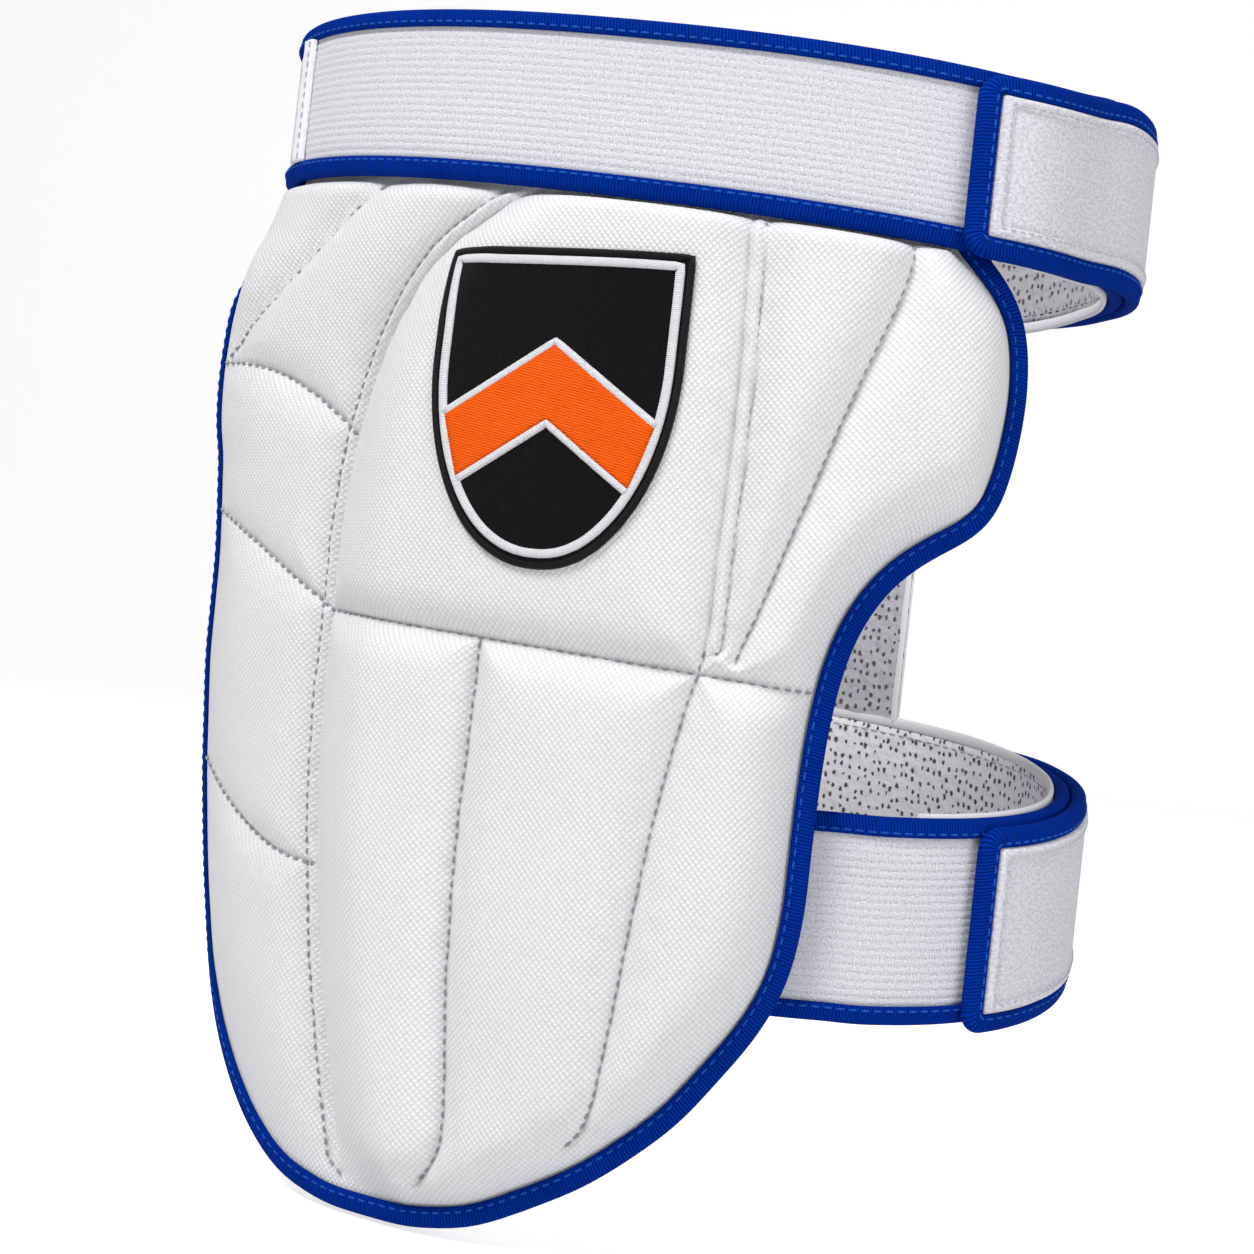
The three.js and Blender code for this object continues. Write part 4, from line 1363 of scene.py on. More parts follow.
    def build_shell(self) -> bpy.types.Object:
        """Makes the quilted shell: crowned face, flat rim and plain back.

        Returns:
            The shell.
        """
        piece = PieceMesh()
        along, height = self.grid[..., 0], self.grid[..., 1]
        depth, crease = self.depth(along, height)
        rim = rim_of(self.grid)
        depth[rim[:, 0], rim[:, 1]] = self.margin
        front = piece.add_grid(self.place(along, height, depth), along, height, crease)
        back = piece.add_grid(self.place(along, height, self.back_lift), along, height)
        ring_top = piece.add_points(self.rim_point(self.rim_reach, self.margin - self.rim_taper))
        ring_back = piece.add_points(self.rim_point(self.rim_reach, self.back_lift))
        total = len(rim)
        for index in range(total):
            after = (index + 1) % total
            (i, j), (k, m) = rim[index], rim[after]
            runs = [(front[i, j], front[k, m]), (ring_top + index, ring_top + after),
                    (ring_back + index, ring_back + after), (back[i, j], back[k, m])]
            for (a, b), (d, c) in zip(runs[:-1], runs[1:]):
                piece.add_face([a, b, c, d])
        made = piece.build("quilted_shell", SHELL, "shell", ["panel_shell"])
        return made

    def build_inner_cloth(self) -> bpy.types.Object:
        """Makes the perforated padded cloth on the back of the panel.

        Returns:
            The inner cloth.
        """
        piece = PieceMesh()
        grid = self.grid[::3, ::3]
        grid = np.concatenate([grid, self.grid[-1:, ::3]]) if (len(self.grid) - 1) % 3 else grid
        along, height = grid[..., 0], grid[..., 1]
        near = np.exp(-((self._seam_gap(along, height)[0] / 2.0) ** 2))
        outer = self.back_lift - 0.1
        inner = outer - self.inner_cloth_depth + self.inner_cloth_pinch * near
        piece.add_slab(self.place(along, height, outer), self.place(along, height, inner), along, height)
        made = piece.build("inner_cloth", LINING, "mesh_lining")
        return made

    @staticmethod
    def _below_strap(run: Array) -> Array:
        """Part of a seam that lies clear below the upper strap."""
        over = THIGH.place(THIGH.turn_at(run[:, 0]), 0.0, UPPER.over_pad)
        return run[run[:, 1] < UPPER.floor_at(over) - 1.5]

    def build_seams(self) -> bpy.types.Object:
        """Sews the stitches of all quilting lines.

        Returns:
            The stitches as one piece.
        """
        piece = PieceMesh()
        for run in self.seams:
            inside = self._below_strap(run)
            places, normals = self.surface(inside[:, 0], inside[:, 1], 0.5)
            SEAM_STITCH.sew(piece, places, normals)
        for seam, run in self.banded:
            inside = self._below_strap(run)
            tangent = np.gradient(inside, axis=0)
            tangent /= np.linalg.norm(tangent, axis=1, keepdims=True)
            side = np.stack([-tangent[:, 1], tangent[:, 0]], axis=-1) * seam.band
            width = self._band_at(seam, (self.top - inside[:, 1]) / self.height)
            beside = inside + side * width[:, None]
            places, normals = self.surface(beside[:, 0], beside[:, 1], 0.62)
            SEAM_STITCH.sew(piece, places, normals)
        return piece.build("seam_stitches", SEAM_THREAD, "shell")

    def build_tape(self) -> list[bpy.types.Object]:
        """Makes the tape folded over the rim, and its stitches.

        Returns:
            The tape and its stitches.
        """
        reach = CLEAR + self.tape_wall
        profile, v = tape_profile(self.tape_width + reach, self.margin + 2 * reach, 0.75, 0.45)
        beyond = self.tape_width + CLEAR + reach
        rings = np.stack([self.rim_point(beyond - across, out - reach) for across, out in profile], axis=1)
        steps = np.linalg.norm(np.diff(np.vstack([rings[:, 0], rings[:1, 0]]), axis=0), axis=1)
        u = np.concatenate([[0], np.cumsum(steps)])
        piece = PieceMesh()
        piece.add_sweep(rings, u, v, loop=True)
        tape = piece.build("panel_tape", TAPE, "tape", ["panel_binding"])
        stitches = PieceMesh()
        face = self.margin + reach + 0.28
        line = self.rim_point(CLEAR + 1.15, face)
        line = np.vstack([line, line[:1]])
        foot = self.rim_point(CLEAR + 1.15, face - 1.0)
        normals = line - np.vstack([foot, foot[:1]])
        TAPE_STITCH.sew(stitches, line, normals)
        return [tape, stitches.build("panel_tape_stitches", BLUE_THREAD, "tape")]


def tape_profile(width: float, depth: float, wall: float, puff: float) -> tuple[Array, Array]:
    """Rounded section of a tape folded over an edge.

    Args:
        width: how far it reaches in from the fold.
        depth: its outer depth over the edge.
        wall: thickness of the tape.
        puff: how far its face swells.

    Returns:
        (across, out) points round the section, and the distance along it at each.
    """
    radius = min(depth / 2, 1.9)
    top = []
    for share in np.linspace(0, 1, 8):
        across = width - share * (width - radius)
        swell = puff * math.sin(math.pi * min(1.0, 0.12 + share * 0.75))
        top.append((across, depth + swell - 0.12))
    turns = np.linspace(0, math.pi / 2, 6)[1:]
    tall = radius + puff * 0.3
    corner = [(radius - radius * math.sin(a), depth - radius + tall * math.cos(a)) for a in turns]
    upper_half = top + corner
    lower_half = [(a, depth - o if o > depth / 2 else o) for a, o in upper_half[::-1]]
    lower_half = [(a, max(0.0, o)) for a, o in lower_half]
    outer = np.array(upper_half + lower_half[1:])
    inner = np.array([(width, wall), (width * 0.6, wall), (wall + 0.5, wall + 0.1), (wall, depth / 2),
                      (wall + 0.5, depth - wall - 0.1), (width * 0.6, depth - wall), (width, depth - wall)])
    loop = np.vstack([outer, inner])
    steps = np.linalg.norm(np.diff(np.vstack([loop, loop[:1]]), axis=0), axis=1)
    return loop, np.concatenate([[0], np.cumsum(steps)])


# Badge


@dataclass
class ShieldBadge:
    """Embroidered badge on the middle pad: a plain heater shield with a chevron."""

    panel: QuiltedPanel
    across: float = -0.075
    drop: float = 0.318
    width: float = 58.0
    height: float = 74.0
    straight_part: float = 0.34
    chevron_slope: float = 0.72
    sink: float = 0.5

    def outline(self, inset: float) -> Array:
        """Closed outline of the shield, moved in by a distance.

        Args:
            inset: how far in.

        Returns:
            (n, 2) places from the badge's middle.
        """
        half, tall = self.width / 2 - inset, self.height - 2.3 * inset
        point = 0.9 + 0.1 * np.sin(np.linspace(0, math.pi / 2, 24)[1:])
        levels = np.concatenate([np.linspace(0, 0.9, 40), point])
        curve = np.clip((levels - self.straight_part) / (1 - self.straight_part), 0, 1)
        wide = half * np.sqrt(1 - curve**2) ** 0.92
        top = self.height / 2 - inset
        right = np.stack([wide, top - levels * tall], axis=-1)
        left = right[::-1][1:] * np.array([-1, 1])
        edge = np.linspace(-half, half, 40)[1:-1]
        return np.vstack([right, left, np.stack([edge, np.full(len(edge), top)], axis=-1)])

    def _put(self, flat: Array, lift: float) -> Array:
        """Puts flat places of the badge a distance above the padding.

        Args:
            flat: (..., 2) places from the badge's middle.
            lift: the distance.

        Returns:
            (..., 3) places.
        """
        along = self.across * self.panel.reach + flat[..., 0]
        height = self.panel.height_at(self.drop) + flat[..., 1]
        return self.panel.surface(along, height, lift)[0]

    def cord(self, line: Array, width: float, tall: float, base: float, loop: bool) -> PieceMesh:
        """Makes a satin cord that lies along a line of the badge.

        Args:
            line: flat places of its middle.
            width: its width.
            tall: how high it stands.
            base: height of its foot above the padding.
            loop: closes on itself.

        Returns:
            The cord's mesh.
        """
        after = np.roll(line, -1, axis=0) if loop else np.vstack([line[1:], 2 * line[-1] - line[-2]])
        before = np.roll(line, 1, axis=0) if loop else np.vstack([2 * line[0] - line[1], line[:-1]])
        tangent = after - before
        tangent /= np.linalg.norm(tangent, axis=1, keepdims=True)
        side = np.stack([-tangent[:, 1], tangent[:, 0]], axis=-1)
        angles = np.linspace(0, math.pi, 9)
        rings = []
        for angle in angles:
            flat = line + side * (math.cos(angle) * width / 2)
            rings.append(self._put(flat, base + tall * max(0.0, math.sin(angle)) ** 0.8))
        rings.append(self._put(line + side * (-0.3 * width), base - self.sink))
        rings.append(self._put(line + side * (0.3 * width), base - self.sink))
        rings = np.stack(rings, axis=1)
        steps = np.linalg.norm(line - before, axis=1)
        u = np.cumsum(steps)
        u = np.append(u, u[-1] + steps[0]) if loop else u
        piece = PieceMesh()
        piece.add_sweep(rings, u, np.linspace(0, width * 2, rings.shape[1] + 1), loop=loop)
        return piece

    def _sheet(self, edge_left: Array, edge_right: Array, columns: int, base: float,
               tall: float) -> PieceMesh:
        """Makes a stitched field between two lines of flat places.

        Args:
            edge_left: (n, 2) places down one side.
            edge_right: (n, 2) places down the other.
            columns: steps from side to side.
            base: height of its foot above the padding.
            tall: thickness.

        Returns:
            The field's mesh.
        """
        share = np.linspace(0, 1, columns)[None, :, None]
        flat = edge_left[:, None] * (1 - share) + edge_right[:, None] * share
        piece = PieceMesh()
        front, back = self._put(flat, base + tall), self._put(flat, base - self.sink)
        piece.add_slab(front, back, flat[..., 0], flat[..., 1])
        return piece

    def chevron_line(self, level: float, inset: float) -> Array:
        """Flat places along a chevron edge from the left side to the right side of the shield.

        Args:
            level: height of its point above the badge's middle.
            inset: how far in from the shield's edge it ends.

        Returns:
            (n, 2) places.
        """
        outline = self.outline(inset)
        right = outline[:63]
        across = np.linspace(0, self.width / 2, 240)
        edge = np.interp(self.chevron_slope * across - level, -right[:, 1], right[:, 0])
        outside = np.flatnonzero(across > edge)
        end = across[outside[0] - 1] if len(outside) else across[-1]
        even = np.linspace(0, end, 22)
        half = np.stack([even, level - self.chevron_slope * even], axis=-1)
        return np.vstack([half[::-1] * np.array([-1, 1]), half[1:]])

    def build(self) -> list[bpy.types.Object]:
        """Makes the badge's field, chevron and cords.

        Returns:
            The pieces.
        """
        inner = self.outline(1.4)
        right = inner[:63]
        left = right * np.array([-1, 1])
        field_piece = self._sheet(left, right, 40, 0.35, 0.75)
        pieces = [field_piece.build("shield_field", BLACK_SATIN, "embroidery", ["badge"])]
        outer = self.cord(self.outline(0.9), 1.9, 1.15, 0.3, True)
        pieces.append(outer.build("shield_outline", BLACK_CORD, "embroidery"))
        border = self.cord(self.outline(3.0), 2.1, 0.75, 0.95, True)
        pieces.append(border.build("shield_border", WHITE_CORD, "embroidery"))
        upper, lower = self.chevron_line(14.5, 3.4), self.chevron_line(-2.5, 3.4)
        chevron = self._sheet(upper, lower, 16, 0.9, 0.75)
        pieces.append(chevron.build("chevron", ORANGE_SATIN, "embroidery"))
        for name, level, side in (("chevron_top_cord", 14.5, 1), ("chevron_bottom_cord", -2.5, -1)):
            line = self.chevron_line(level + side * 0.9, 3.2)
            pieces.append(self.cord(line, 1.9, 0.8, 1.0, False).build(name, WHITE_CORD, "embroidery"))
        return pieces


# Straps


class StrapEdge(Enum):
    """The two long edges of a strap."""

    TOP = "top"
    BOTTOM = "bottom"


@dataclass
class ElasticStrap:
    """One strap loop with its tapes, tab, plush patch and lining."""

    name: str
    loop: StrapLoop
    tape_width: float = 4.6
    tape_wall: float = 0.6
    corner_radius: float = 5.4
    rib_pitch: float = 1.85
    rib_depth: float = 0.22
    rib_power: float = 0.8
    elastic_swell: float = 0.35
    tape_cloth: float = 0.7
    tape_puff: float = 0.4
    rib_steps: int = 6
    plain_steps: int = 6
    patch_depth: float = 1.4
    stitch_inset: float = 1.0
    stitch_lift: float = 0.3
    lining_from: float = 45.0
    lining_to: float = 262.5
    patch_end: float = 112.5
    turn_step: float = 1.0
    rim_side: StrapEdge = StrapEdge.TOP
    rim_reach: float = 1.7
    lining: Finish = LINING

    def turns(self, start: float, end: float) -> Array:
        """Turns from one end to the other at even small steps."""
        return np.linspace(start, end, max(2, int(abs(end - start) / self.turn_step) + 1))

    def lengths(self, turns: Array) -> Array:
        """Distance round the thigh at each turn."""
        return THIGH.length_at(turns)

    def _from_edge(self, side: StrapEdge, inward: Array | float) -> Array | float:
        """Place across the strap at a distance in from an edge."""
        return self.loop.width - inward if side is StrapEdge.TOP else inward

    def _rib(self, across: Array) -> Array:
        """Height of the raised ribs across the elastic."""
        return np.abs(np.cos(math.pi * across / self.rib_pitch)) ** self.rib_power

    def build_elastic(self, layer: Layer) -> bpy.types.Object:
        """Makes the ribbed elastic of a layer.

        Args:
            layer: front or back section.

        Returns:
            The elastic.
        """
        loop = self.loop
        inset = self.tape_wall + CLEAR
        corner = self.corner_radius - inset
        if layer is Layer.FRONT:
            turns = self.turns(loop.front_start, loop.front_end)
            low = np.full(len(turns), inset)
            node_name = f"{self.name}_strap_front"
        else:
            end = float(THIGH.length_at(loop.tab_end - 360)) + inset
            turns = self.turns(float(THIGH.turn_at(end)), loop.back_start)
            short = np.maximum(0, corner - (THIGH.length_at(turns) - end))
            cut = corner - np.sqrt(np.maximum(0, corner**2 - short**2))
            low = inset + np.minimum(cut, corner * 0.9)
            node_name = f"{self.name}_strap_back"
        count = int((loop.width - 2 * inset) / self.rib_pitch * self.rib_steps)
        across = mix(low[:, None], loop.width - low[:, None], np.linspace(0, 1, count)[None])
        plain = mix(loop.width - low[:, None], low[:, None], np.linspace(0, 1, self.plain_steps)[None])
        rib = self._rib(across)
        edge = np.minimum(across, loop.width - across)
        swell = self.elastic_swell * smooth(edge, self.tape_width - 1.0, self.tape_width + 4.0)
        outer_out = loop.depth - inset + swell + self.rib_depth * (rib - 0.6)
        outer = loop.place(layer, turns[:, None], across, outer_out)
        inner = loop.place(layer, turns[:, None], plain, inset)
        rings = np.concatenate([outer, inner], axis=1)
        v = np.concatenate([across, plain, across[:, :1]], axis=1)
        u = np.broadcast_to(self.lengths(turns)[:, None], v.shape)
        # The crease share marks the rib hollows, where the elastic's finish paints shade.
        crease = np.concatenate([(1 - rib) ** 2, np.zeros_like(plain)], axis=1)
        piece = PieceMesh()
        piece.add_sweep(rings, u, v, crease=crease)
        return piece.build(f"{self.name}_elastic_{layer.value}", ELASTIC, "elastic", [node_name])

    def build_front_tapes(self) -> list[bpy.types.Object]:
        """Makes the two tapes on the front section's edges, with their stitches.

        Returns:
            The tapes and the stitches.
        """
        loop = self.loop
        profile, v = tape_profile(self.tape_width, loop.depth, self.tape_cloth, self.tape_puff)
        turns = self.turns(loop.front_start, loop.front_end)
        u = self.lengths(turns)
        made = []
        for side in StrapEdge:
            across = self._from_edge(side, profile[:, 0])
            rings = loop.place(Layer.FRONT, turns[:, None], across[None], profile[None, :, 1])
            piece = PieceMesh()
            piece.add_sweep(rings, u, v)
            name = f"{self.name}_front_{side.value}_tape"
            made.append(piece.build(name, TAPE, "tape", [f"{self.name}_front_{side.value}_binding"]))
            at = self._from_edge(side, self.tape_width - self.stitch_inset)
            stitches = PieceMesh()
            self._sew(stitches, Layer.FRONT, turns, np.full(len(turns), at), loop.depth + self.stitch_lift)
            made.append(stitches.build(f"{name}_stitches", BLUE_THREAD, "tape"))
        return made

    def _sew(self, piece: PieceMesh, layer: Layer, turns: Array, across: Array, out: float) -> None:
        """Sews a row of stitches along places of a layer.

        Args:
            piece: where they go.
            layer: the layer.
            turns: degrees round the thigh.
            across: millimetres up from the lower edge.
            out: millimetres off the layer's inner face.
        """
        line = self.loop.place(layer, turns, across, out)
        foot = self.loop.place(layer, turns, across, out - 1.0)
        TAPE_STITCH.sew(piece, line, line - foot)

    def build_tab_tape(self) -> list[bpy.types.Object]:
        """Makes the tape round the back section: lower edge, tab end and upper edge.

        Returns:
            The tape and its stitches.
        """
        loop, radius = self.loop, self.corner_radius
        end = float(THIGH.length_at(loop.tab_end - 360))
        straight = self.turns(float(THIGH.turn_at(end + radius)), loop.back_start)[1:]
        stations = [(turn, 0.0, 0.0, 1.0) for turn in straight[::-1]]
        for angle in np.linspace(0, math.pi / 2, 9):
            along, up = math.sin(angle), math.cos(angle)
            turn = float(THIGH.turn_at(end + radius - radius * along))
            stations.append((turn, radius - radius * up, along, up))
        rise = np.linspace(0, 1, 16)[1:-1]
        for share in rise:
            stations.append((float(THIGH.turn_at(end)), mix(radius, loop.width - radius, share), 1.0, 0.0))
        for angle in np.linspace(0, math.pi / 2, 9):
            along, up = math.cos(angle), -math.sin(angle)
            turn = float(THIGH.turn_at(end + radius - radius * along))
            stations.append((turn, loop.width - radius - radius * up, along, up))
        stations += [(turn, loop.width, 0.0, -1.0) for turn in straight]
        table = np.array(stations)
        profile, v = tape_profile(self.tape_width, loop.depth, self.tape_cloth, self.tape_puff)

        def at(inward: Array, out: Array) -> Array:
            """Places at a distance in from the tape's fold."""
            turn = THIGH.turn_at(THIGH.length_at(table[:, :1]) + table[:, 2:3] * inward)
            return loop.place(Layer.BACK, turn, table[:, 1:2] + table[:, 3:4] * inward, out)

        rings = at(profile[None, :, 0], profile[None, :, 1])
        steps = np.linalg.norm(np.diff(rings.mean(axis=1), axis=0), axis=1)
        u = np.concatenate([[0], np.cumsum(steps)])
        piece = PieceMesh()
        piece.add_sweep(rings, u, v)
        tape = piece.build(f"{self.name}_tab_tape", TAPE, "tape", [f"{self.name}_back_binding"])
        one = np.full((1, 1), self.tape_width - self.stitch_inset)
        line = at(one, np.full((1, 1), loop.depth + self.stitch_lift))[:, 0]
        foot = at(one, np.full((1, 1), loop.depth + self.stitch_lift - 1.0))[:, 0]
        stitches = PieceMesh()
        TAPE_STITCH.sew(stitches, line, line - foot)
        return [tape, stitches.build(f"{self.name}_tab_tape_stitches", BLUE_THREAD, "tape")]

    def build_patch(self) -> list[bpy.types.Object]:
        """Makes the plush patch on the tab, with its stitched hem.

        Returns:
            The patch and its stitches.
        """
        loop = self.loop
        edge = self.tape_width + CLEAR
        base = loop.depth - self.tape_wall
        start = float(THIGH.turn_at(THIGH.length_at(loop.tab_end - 360) + edge))
        turns = self.turns(start, self.patch_end - 360)
        fine = THIGH.turn_at(np.linspace(THIGH.length_at(turns[0]), THIGH.length_at(turns[-1]), 150))
        length = THIGH.length_at(fine)
        across = np.linspace(edge - 0.2, loop.width - edge + 0.2, 56)
        gap_along = np.minimum(length - length[0], length[-1] - length)[:, None]
        gap_across = np.minimum(across - across[0], across[-1] - across)[None]
        gap = np.minimum(gap_along, gap_across)
        rounded = np.sqrt(np.clip(1 - (1 - np.clip(gap / 1.0, 0, 1)) ** 2, 0, 1))
        hem = smooth(gap, 3.0, 2.3)
        dent = np.exp(-(((gap - 2.75) / 0.5) ** 2))
        nap = 0.10 * ripple(length[:, None] * 3.0, across[None] * 3.1, 4.0) * (1 - hem)
        out = base + 0.3 + self.patch_depth * 0.6 * rounded + 0.38 * hem * rounded - 0.35 * dent + nap
        top = loop.place(Layer.BACK, fine[:, None], across[None], out)
        foot = loop.place(Layer.BACK, fine[:, None], across[None], base)
        piece = PieceMesh()
        us, vs = length[:, None] + 0 * across[None], across[None] + 0 * length[:, None]
        piece.add_slab(top, foot, us, vs, dent * 0.6)
        patch = piece.build(f"{self.name}_plush_patch", PLUSH, "plush", [f"{self.name}_patch"])
        inset = 2.1
        first = float(THIGH.turn_at(length[0] + inset))
        last = float(THIGH.turn_at(length[-1] - inset))
        low, high = across[0] + inset, across[-1] - inset
        route = [(t, low) for t in np.linspace(last, first, 60)]
        route += [(first, a) for a in np.linspace(low, high, 20)[1:-1]]
        route += [(t, high) for t in np.linspace(first, last, 60)]
        route += [(last, a) for a in np.linspace(high, low, 20)[1:]]
        line_turns, line_across = np.array(route).T
        stitches = PieceMesh()
        face = base + 0.3 + self.patch_depth * 0.6 + 0.34
        line = loop.place(Layer.BACK, line_turns, line_across, face)
        foot_line = loop.place(Layer.BACK, line_turns, line_across, face - 1)
        PATCH_STITCH.sew(stitches, line, line - foot_line)
        return [patch, stitches.build(f"{self.name}_patch_stitches", GREY_THREAD, "plush")]

    def build_lining(self) -> list[bpy.types.Object]:
        """Makes the perforated lining inside the loop, with its rolled rims.

        Returns:
            The lining, its rims and stitches.
        """
        loop = self.loop
        turns = self.turns(self.lining_from, self.lining_to)
        length = self.lengths(turns)
        across = np.linspace(1.2, loop.width - 1.2, 30)
        quilt = 0.25 * ripple(length[:, None], across[None], 17.0)
        inner = loop.place(Layer.LINING, turns[:, None], across[None], 0.25 + 0.2 * quilt)
        outer = loop.place(Layer.LINING, turns[:, None], across[None], 1.55)
        piece = PieceMesh()
        rings = np.concatenate([inner, outer[:, ::-1]], axis=1)
        v = np.concatenate([across, across[::-1], across[:1]])
        piece.add_sweep(rings, length, v)
        made = [piece.build(f"{self.name}_loop_lining", self.lining, "mesh_lining", [f"{self.name}_lining"])]
        for side in StrapEdge:
            rim = PieceMesh()
            angles = np.linspace(0, 2 * math.pi, 13)[:-1]
            reach = self.rim_reach * smooth(turns, 88, 140) if side is self.rim_side else 0.0 * turns
            middle = self._from_edge(side, 1.2 - reach)
            around = middle[:, None] + 1.6 * np.cos(angles)
            out = 0.82 + 0.8 * np.sin(angles)
            rings = loop.place(Layer.LINING, turns[:, None], around, out[None])
            rim.add_sweep(rings, length, np.linspace(0, 9, 13))
            made.append(rim.build(f"{self.name}_lining_{side.value}_rim", RIM_CLOTH, "mesh_lining"))
            stitches = PieceMesh()
            at = self._from_edge(side, 3.0)
            line = loop.place(Layer.LINING, turns, np.full(len(turns), at), 0.12)
            foot = loop.place(Layer.LINING, turns, np.full(len(turns), at), 1.12)
            LINING_STITCH.sew(stitches, line, line - foot)
            name = f"{self.name}_lining_{side.value}_stitches"
            made.append(stitches.build(name, PALE_THREAD, "mesh_lining"))
        return made

    def build(self) -> None:
        """Makes the whole strap loop."""
        self.build_elastic(Layer.FRONT)
        self.build_elastic(Layer.BACK)
        self.build_front_tapes()
        self.build_tab_tape()
        self.build_patch()
        self.build_lining()


@dataclass
class SideHem:
    """The folded hem where the upper elastic is sewn down at the padded side."""

    loop: StrapLoop
    width: float = 7.0
    depth: float = 1.1
    tape_width: float = 4.6

    def build(self) -> list[bpy.types.Object]:
        """Makes the hem and its stitches.

        Returns:
            The hem and the stitches.
        """
        start = THIGH.length_at(self.loop.front_start)
        length = np.linspace(start, start + self.width, 16)
        turns = THIGH.turn_at(length)
        across = np.linspace(self.tape_width, self.loop.width - self.tape_width, 40)
        share = (length - start) / self.width
        arched = np.sqrt(np.clip(1 - (2 * share - 1) ** 4, 0, 1))[:, None]
        base = self.loop.depth - 0.35
        out = base + (self.depth + 0.45) * arched + 0.08 * ripple(length[:, None], across[None], 5.0)
        top = self.loop.place(Layer.FRONT, turns[:, None], across[None], out)
        foot = self.loop.place(Layer.FRONT, turns[:, None], across[None], base)
        piece = PieceMesh()
        piece.add_slab(top, foot, length, across)
        hem = piece.build("upper_folded_hem", HEM_CLOTH, "elastic", ["upper_side_hem"])
        stitches = PieceMesh()
        turn = float(THIGH.turn_at(start + self.width - 1.3))
        line = self.loop.place(Layer.FRONT, np.full(40, turn), across, base + self.depth + 0.45)
        foot_line = self.loop.place(Layer.FRONT, np.full(40, turn), across, base)
        HEM_STITCH.sew(stitches, line, line - foot_line)
        return [hem, stitches.build("upper_hem_stitches", PALE_THREAD, "elastic")]


@dataclass
class BackStrip:
    """The perforated upright strip at the back of the thigh that joins the two loops."""

    start: float = 150.0
    end: float = 184.0
    depth: float = 1.6

    def build(self) -> list[bpy.types.Object]:
        """Makes the strip with its rolled side edges.

        Returns:
            The strip and its edge rims.
        """
        turns = np.linspace(self.start, self.end, 50)
        base = THIGH.place(turns, 0.0, 0.0)
        low = LOWER.floor_at(base) + LOWER.width + CLEAR
        high = UPPER.floor_at(base) - CLEAR
        shares = np.linspace(0, 1, 90)
        heights = mix(high[None], low[None], shares[:, None])
        length = THIGH.length_at(turns)
        gap = np.minimum(length - length[0], length[-1] - length)[None]
        bulge = 0.2 * ripple(length[None], heights, 18.0) * smooth(gap, 0, 4)
        inner = THIGH.place(turns[None], heights, 0.2 + bulge)
        outer = THIGH.place(turns[None], heights, self.depth)
        piece = PieceMesh()
        us, vs = length[None] + 0 * heights, heights
        piece.add_slab(inner, outer, us, vs)
        # The strip's cloth is the darker lining copy: painted shade for its place behind the padding.
        made = [piece.build("back_strip_cloth", SHADED_LINING, "mesh_lining", ["back_strip"])]
        for side, column in (("closing", 0), ("padded", -1)):
            turn = turns[column]
            inward = 1.3 if column == 0 else -1.3
            middle = float(THIGH.turn_at(length[column] + inward))
            angles = np.linspace(0, 2 * math.pi, 13)[:-1]
            around = THIGH.turn_at(THIGH.length_at(middle) + 1.7 * np.cos(angles))
            out = 0.85 + 0.85 * np.sin(angles)
            rings = THIGH.place(around[None], heights[:, column][:, None], out[None])
            edge = PieceMesh()
            edge.add_sweep(rings, heights[:, column], np.linspace(0, 9, 13))
            made.append(edge.build(f"back_strip_{side}_rim", RIM_CLOTH, "mesh_lining"))
        return made


# Camera, light and floor


@dataclass(frozen=True)
class PhotoCamera:
    """The camera that sees the guard from the photograph's place."""

    place: tuple[float, float, float] = (0.123769, -0.461913, -0.038097)
    right: tuple[float, float, float] = (0.95407174, 0.27843528, 0.11054824)
    up: tuple[float, float, float] = (-0.10194451, -0.04523904, 0.99376091)
    forward: tuple[float, float, float] = (-0.28169919, 0.95938898, 0.01477634)
    lens: float = 50.0
    sensor: float = 36.0

    def build(self) -> bpy.types.Object:
        """Makes the camera and gives it to the scene.

        Returns:
            The camera.
        """
        data = bpy.data.cameras.new("photo_camera")
        data.lens, data.sensor_width = self.lens, self.sensor
        data.clip_start, data.clip_end = 0.01, 50.0
        camera = bpy.data.objects.new("photo_camera", data)
        bpy.context.scene.collection.objects.link(camera)
        axes = Matrix((self.right, self.up, [-c for c in self.forward])).transposed()
        camera.matrix_world = Matrix.Translation(self.place) @ axes.to_4x4()
        bpy.context.scene.camera = camera
        return camera


@dataclass(frozen=True)
class SoftBox:
    """A soft square light that looks at the guard."""

    name: str
    place: tuple[float, float, float]
    size: float
    power: float
    color: tuple[float, float, float] = (1.0, 1.0, 1.0)
    aim: tuple[float, float, float] = (0.0, 0.0, -0.03)

    def build(self) -> bpy.types.Object:
        """Makes the light.

        Returns:
            The light.
        """
        data = bpy.data.lights.new(self.name, "AREA")
        data.shape, data.size, data.energy, data.color = "SQUARE", self.size, self.power, self.color
        light = bpy.data.objects.new(self.name, data)
        light.location = self.place
        light.rotation_euler = (Vector(self.aim) - Vector(self.place)).to_track_quat("-Z", "Y").to_euler()
        bpy.context.scene.collection.objects.link(light)
        return light


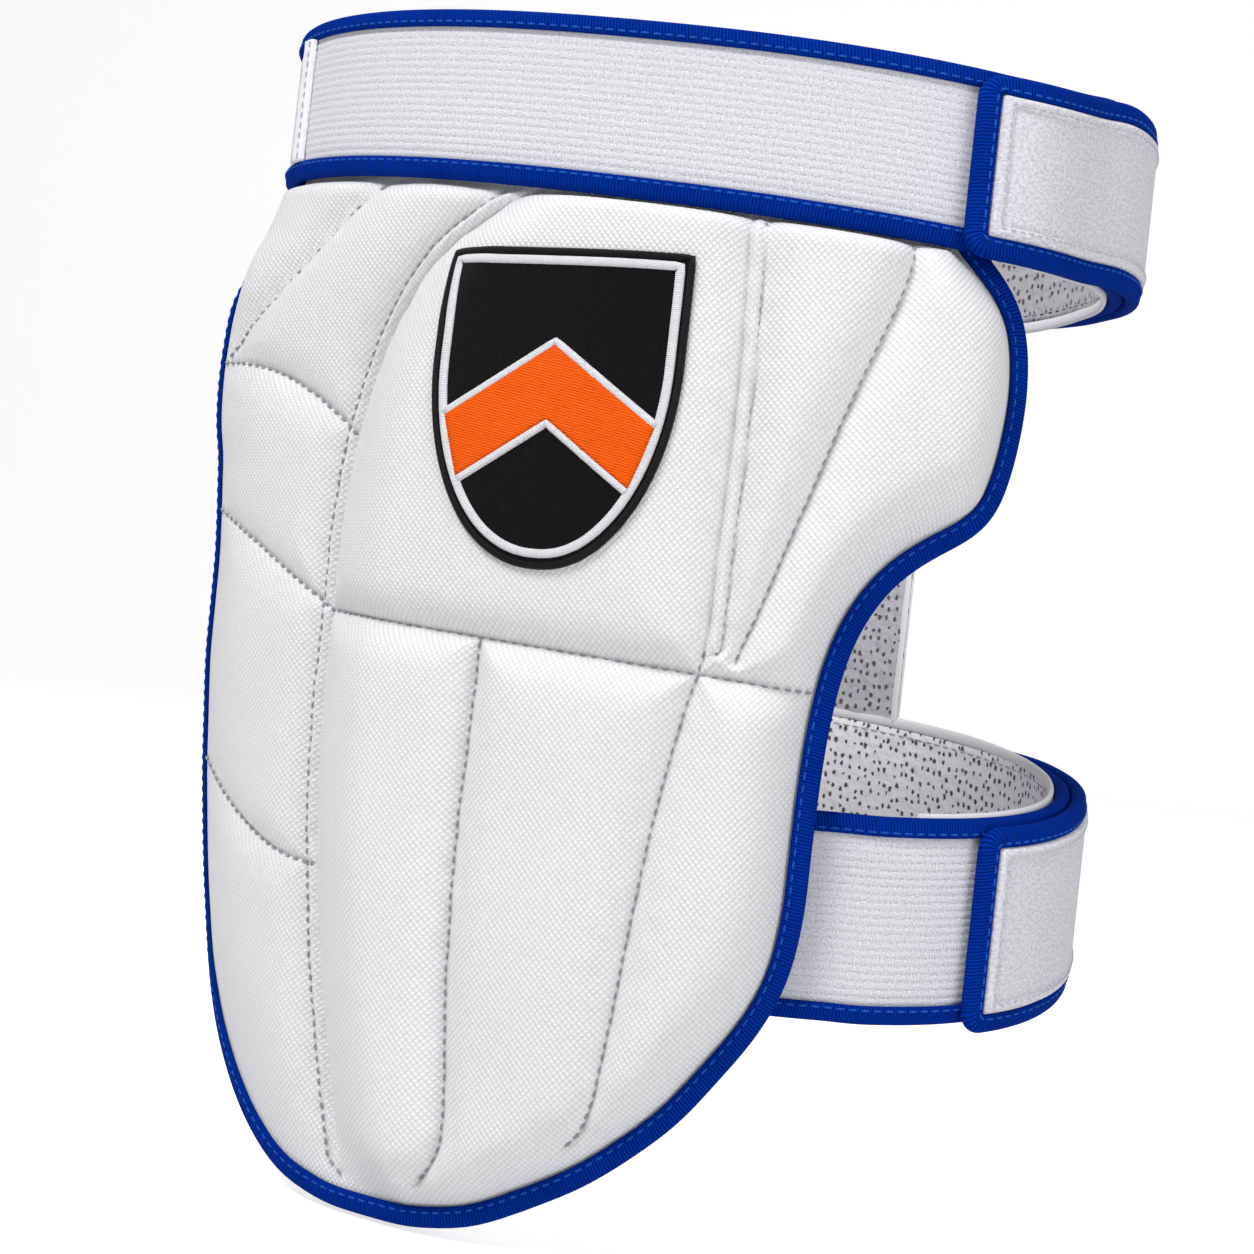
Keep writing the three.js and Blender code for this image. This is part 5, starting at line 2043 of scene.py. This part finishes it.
@dataclass(frozen=True)
class Studio:
    """Pale floor, soft lights and an even surround."""

    floor_level: float = -0.1806
    surround: float = 0.25
    floor_glow: float = 0.05
    seen_glow: float = 0.64
    half_width: float = 4.0
    wall_start: float = 2.2
    wall_curve: float = 1.2
    wall_height: float = 4.5
    curve_steps: int = 24
    boxes: tuple[SoftBox, ...] = (
        SoftBox("key_light", (-0.45, -0.95, 1.25), 0.5, 21.0),
        SoftBox("fill_light", (1.25, -0.85, 0.35), 0.9, 8.6),
        SoftBox("top_light", (0.25, -0.25, 1.5), 0.9, 5.0),
    )

    def build(self) -> None:
        """Makes the floor, the lights and the surround."""
        for box in self.boxes:
            box.build()
        world = bpy.data.worlds.new("studio_surround")
        world.use_nodes = True
        back = world.node_tree.nodes["Background"]
        back.inputs["Color"].default_value = (1, 1, 1, 1)
        back.inputs["Strength"].default_value = self.surround
        bpy.context.scene.world = world
        bpy.context.scene.view_settings.view_transform = "Standard"
        mesh = bpy.data.meshes.new("studio_floor")
        start, curve = self.wall_start, self.wall_curve
        rows = [(-self.half_width, 0.0), (start, 0.0)]
        for step in range(1, self.curve_steps + 1):
            angle = step / self.curve_steps * math.pi / 2
            rows.append((start + curve * math.sin(angle), curve * (1 - math.cos(angle))))
        rows.append((start + curve, self.wall_height))
        points = [(x, y, self.floor_level + z) for y, z in rows for x in (-self.half_width, self.half_width)]
        faces = [(2 * i, 2 * i + 1, 2 * i + 3, 2 * i + 2) for i in range(len(rows) - 1)]
        mesh.from_pydata(points, [], faces)
        mesh.polygons.foreach_set("use_smooth", np.ones(len(faces), bool))
        mesh.materials.append(self._floor_paint())
        floor = bpy.data.objects.new("studio_floor", mesh)
        bpy.context.scene.collection.objects.link(floor)

    def _floor_paint(self) -> bpy.types.Material:
        """Matt white paint with a faint unevenness, lifted to white where it is seen directly.

        Returns:
            The material.
        """
        made = bpy.data.materials.new("studio white")
        made.use_nodes = True
        tree = made.node_tree
        shader = tree.nodes["Principled BSDF"]
        shader.inputs["Roughness"].default_value = 0.9
        shader.inputs["Specular IOR Level"].default_value = 0.1
        seen = node(tree, "ShaderNodeLightPath").outputs["Is Camera Ray"]
        glow = maths(tree, "MULTIPLY_ADD", seen, self.seen_glow, self.floor_glow)
        tree.links.new(glow, shader.inputs["Emission Strength"])
        shader.inputs["Emission Color"].default_value = (1, 1, 1, 1)
        white, pale = (0.80, 0.80, 0.80, 1), (0.77, 0.77, 0.77, 1)
        tone = EffectLibrary.place(tree, Effect.TONE, Color=white, Shade=pale, Amount=0.3, Scale=3.0)
        tree.links.new(tone.outputs["Color"], shader.inputs["Base Color"])
        return made


def main() -> None:
    """Builds the guard's sub-assemblies, the studio and the camera."""
    logging.basicConfig(level=logging.INFO, format="%(name)s %(message)s")
    PhotoCamera().build()
    Studio().build()
    panel = QuiltedPanel()
    panel.build_shell()
    panel.build_inner_cloth()
    panel.build_seams()
    panel.build_tape()
    ShieldBadge(panel).build()
    # The upper loop's lining takes the darker lining copy: painted shade.
    ElasticStrap("upper", UPPER, rim_side=StrapEdge.BOTTOM, lining=SHADED_LINING).build()
    ElasticStrap("lower", LOWER).build()
    SideHem(UPPER).build()
    BackStrip().build()


if __name__ == "__main__":
    main()
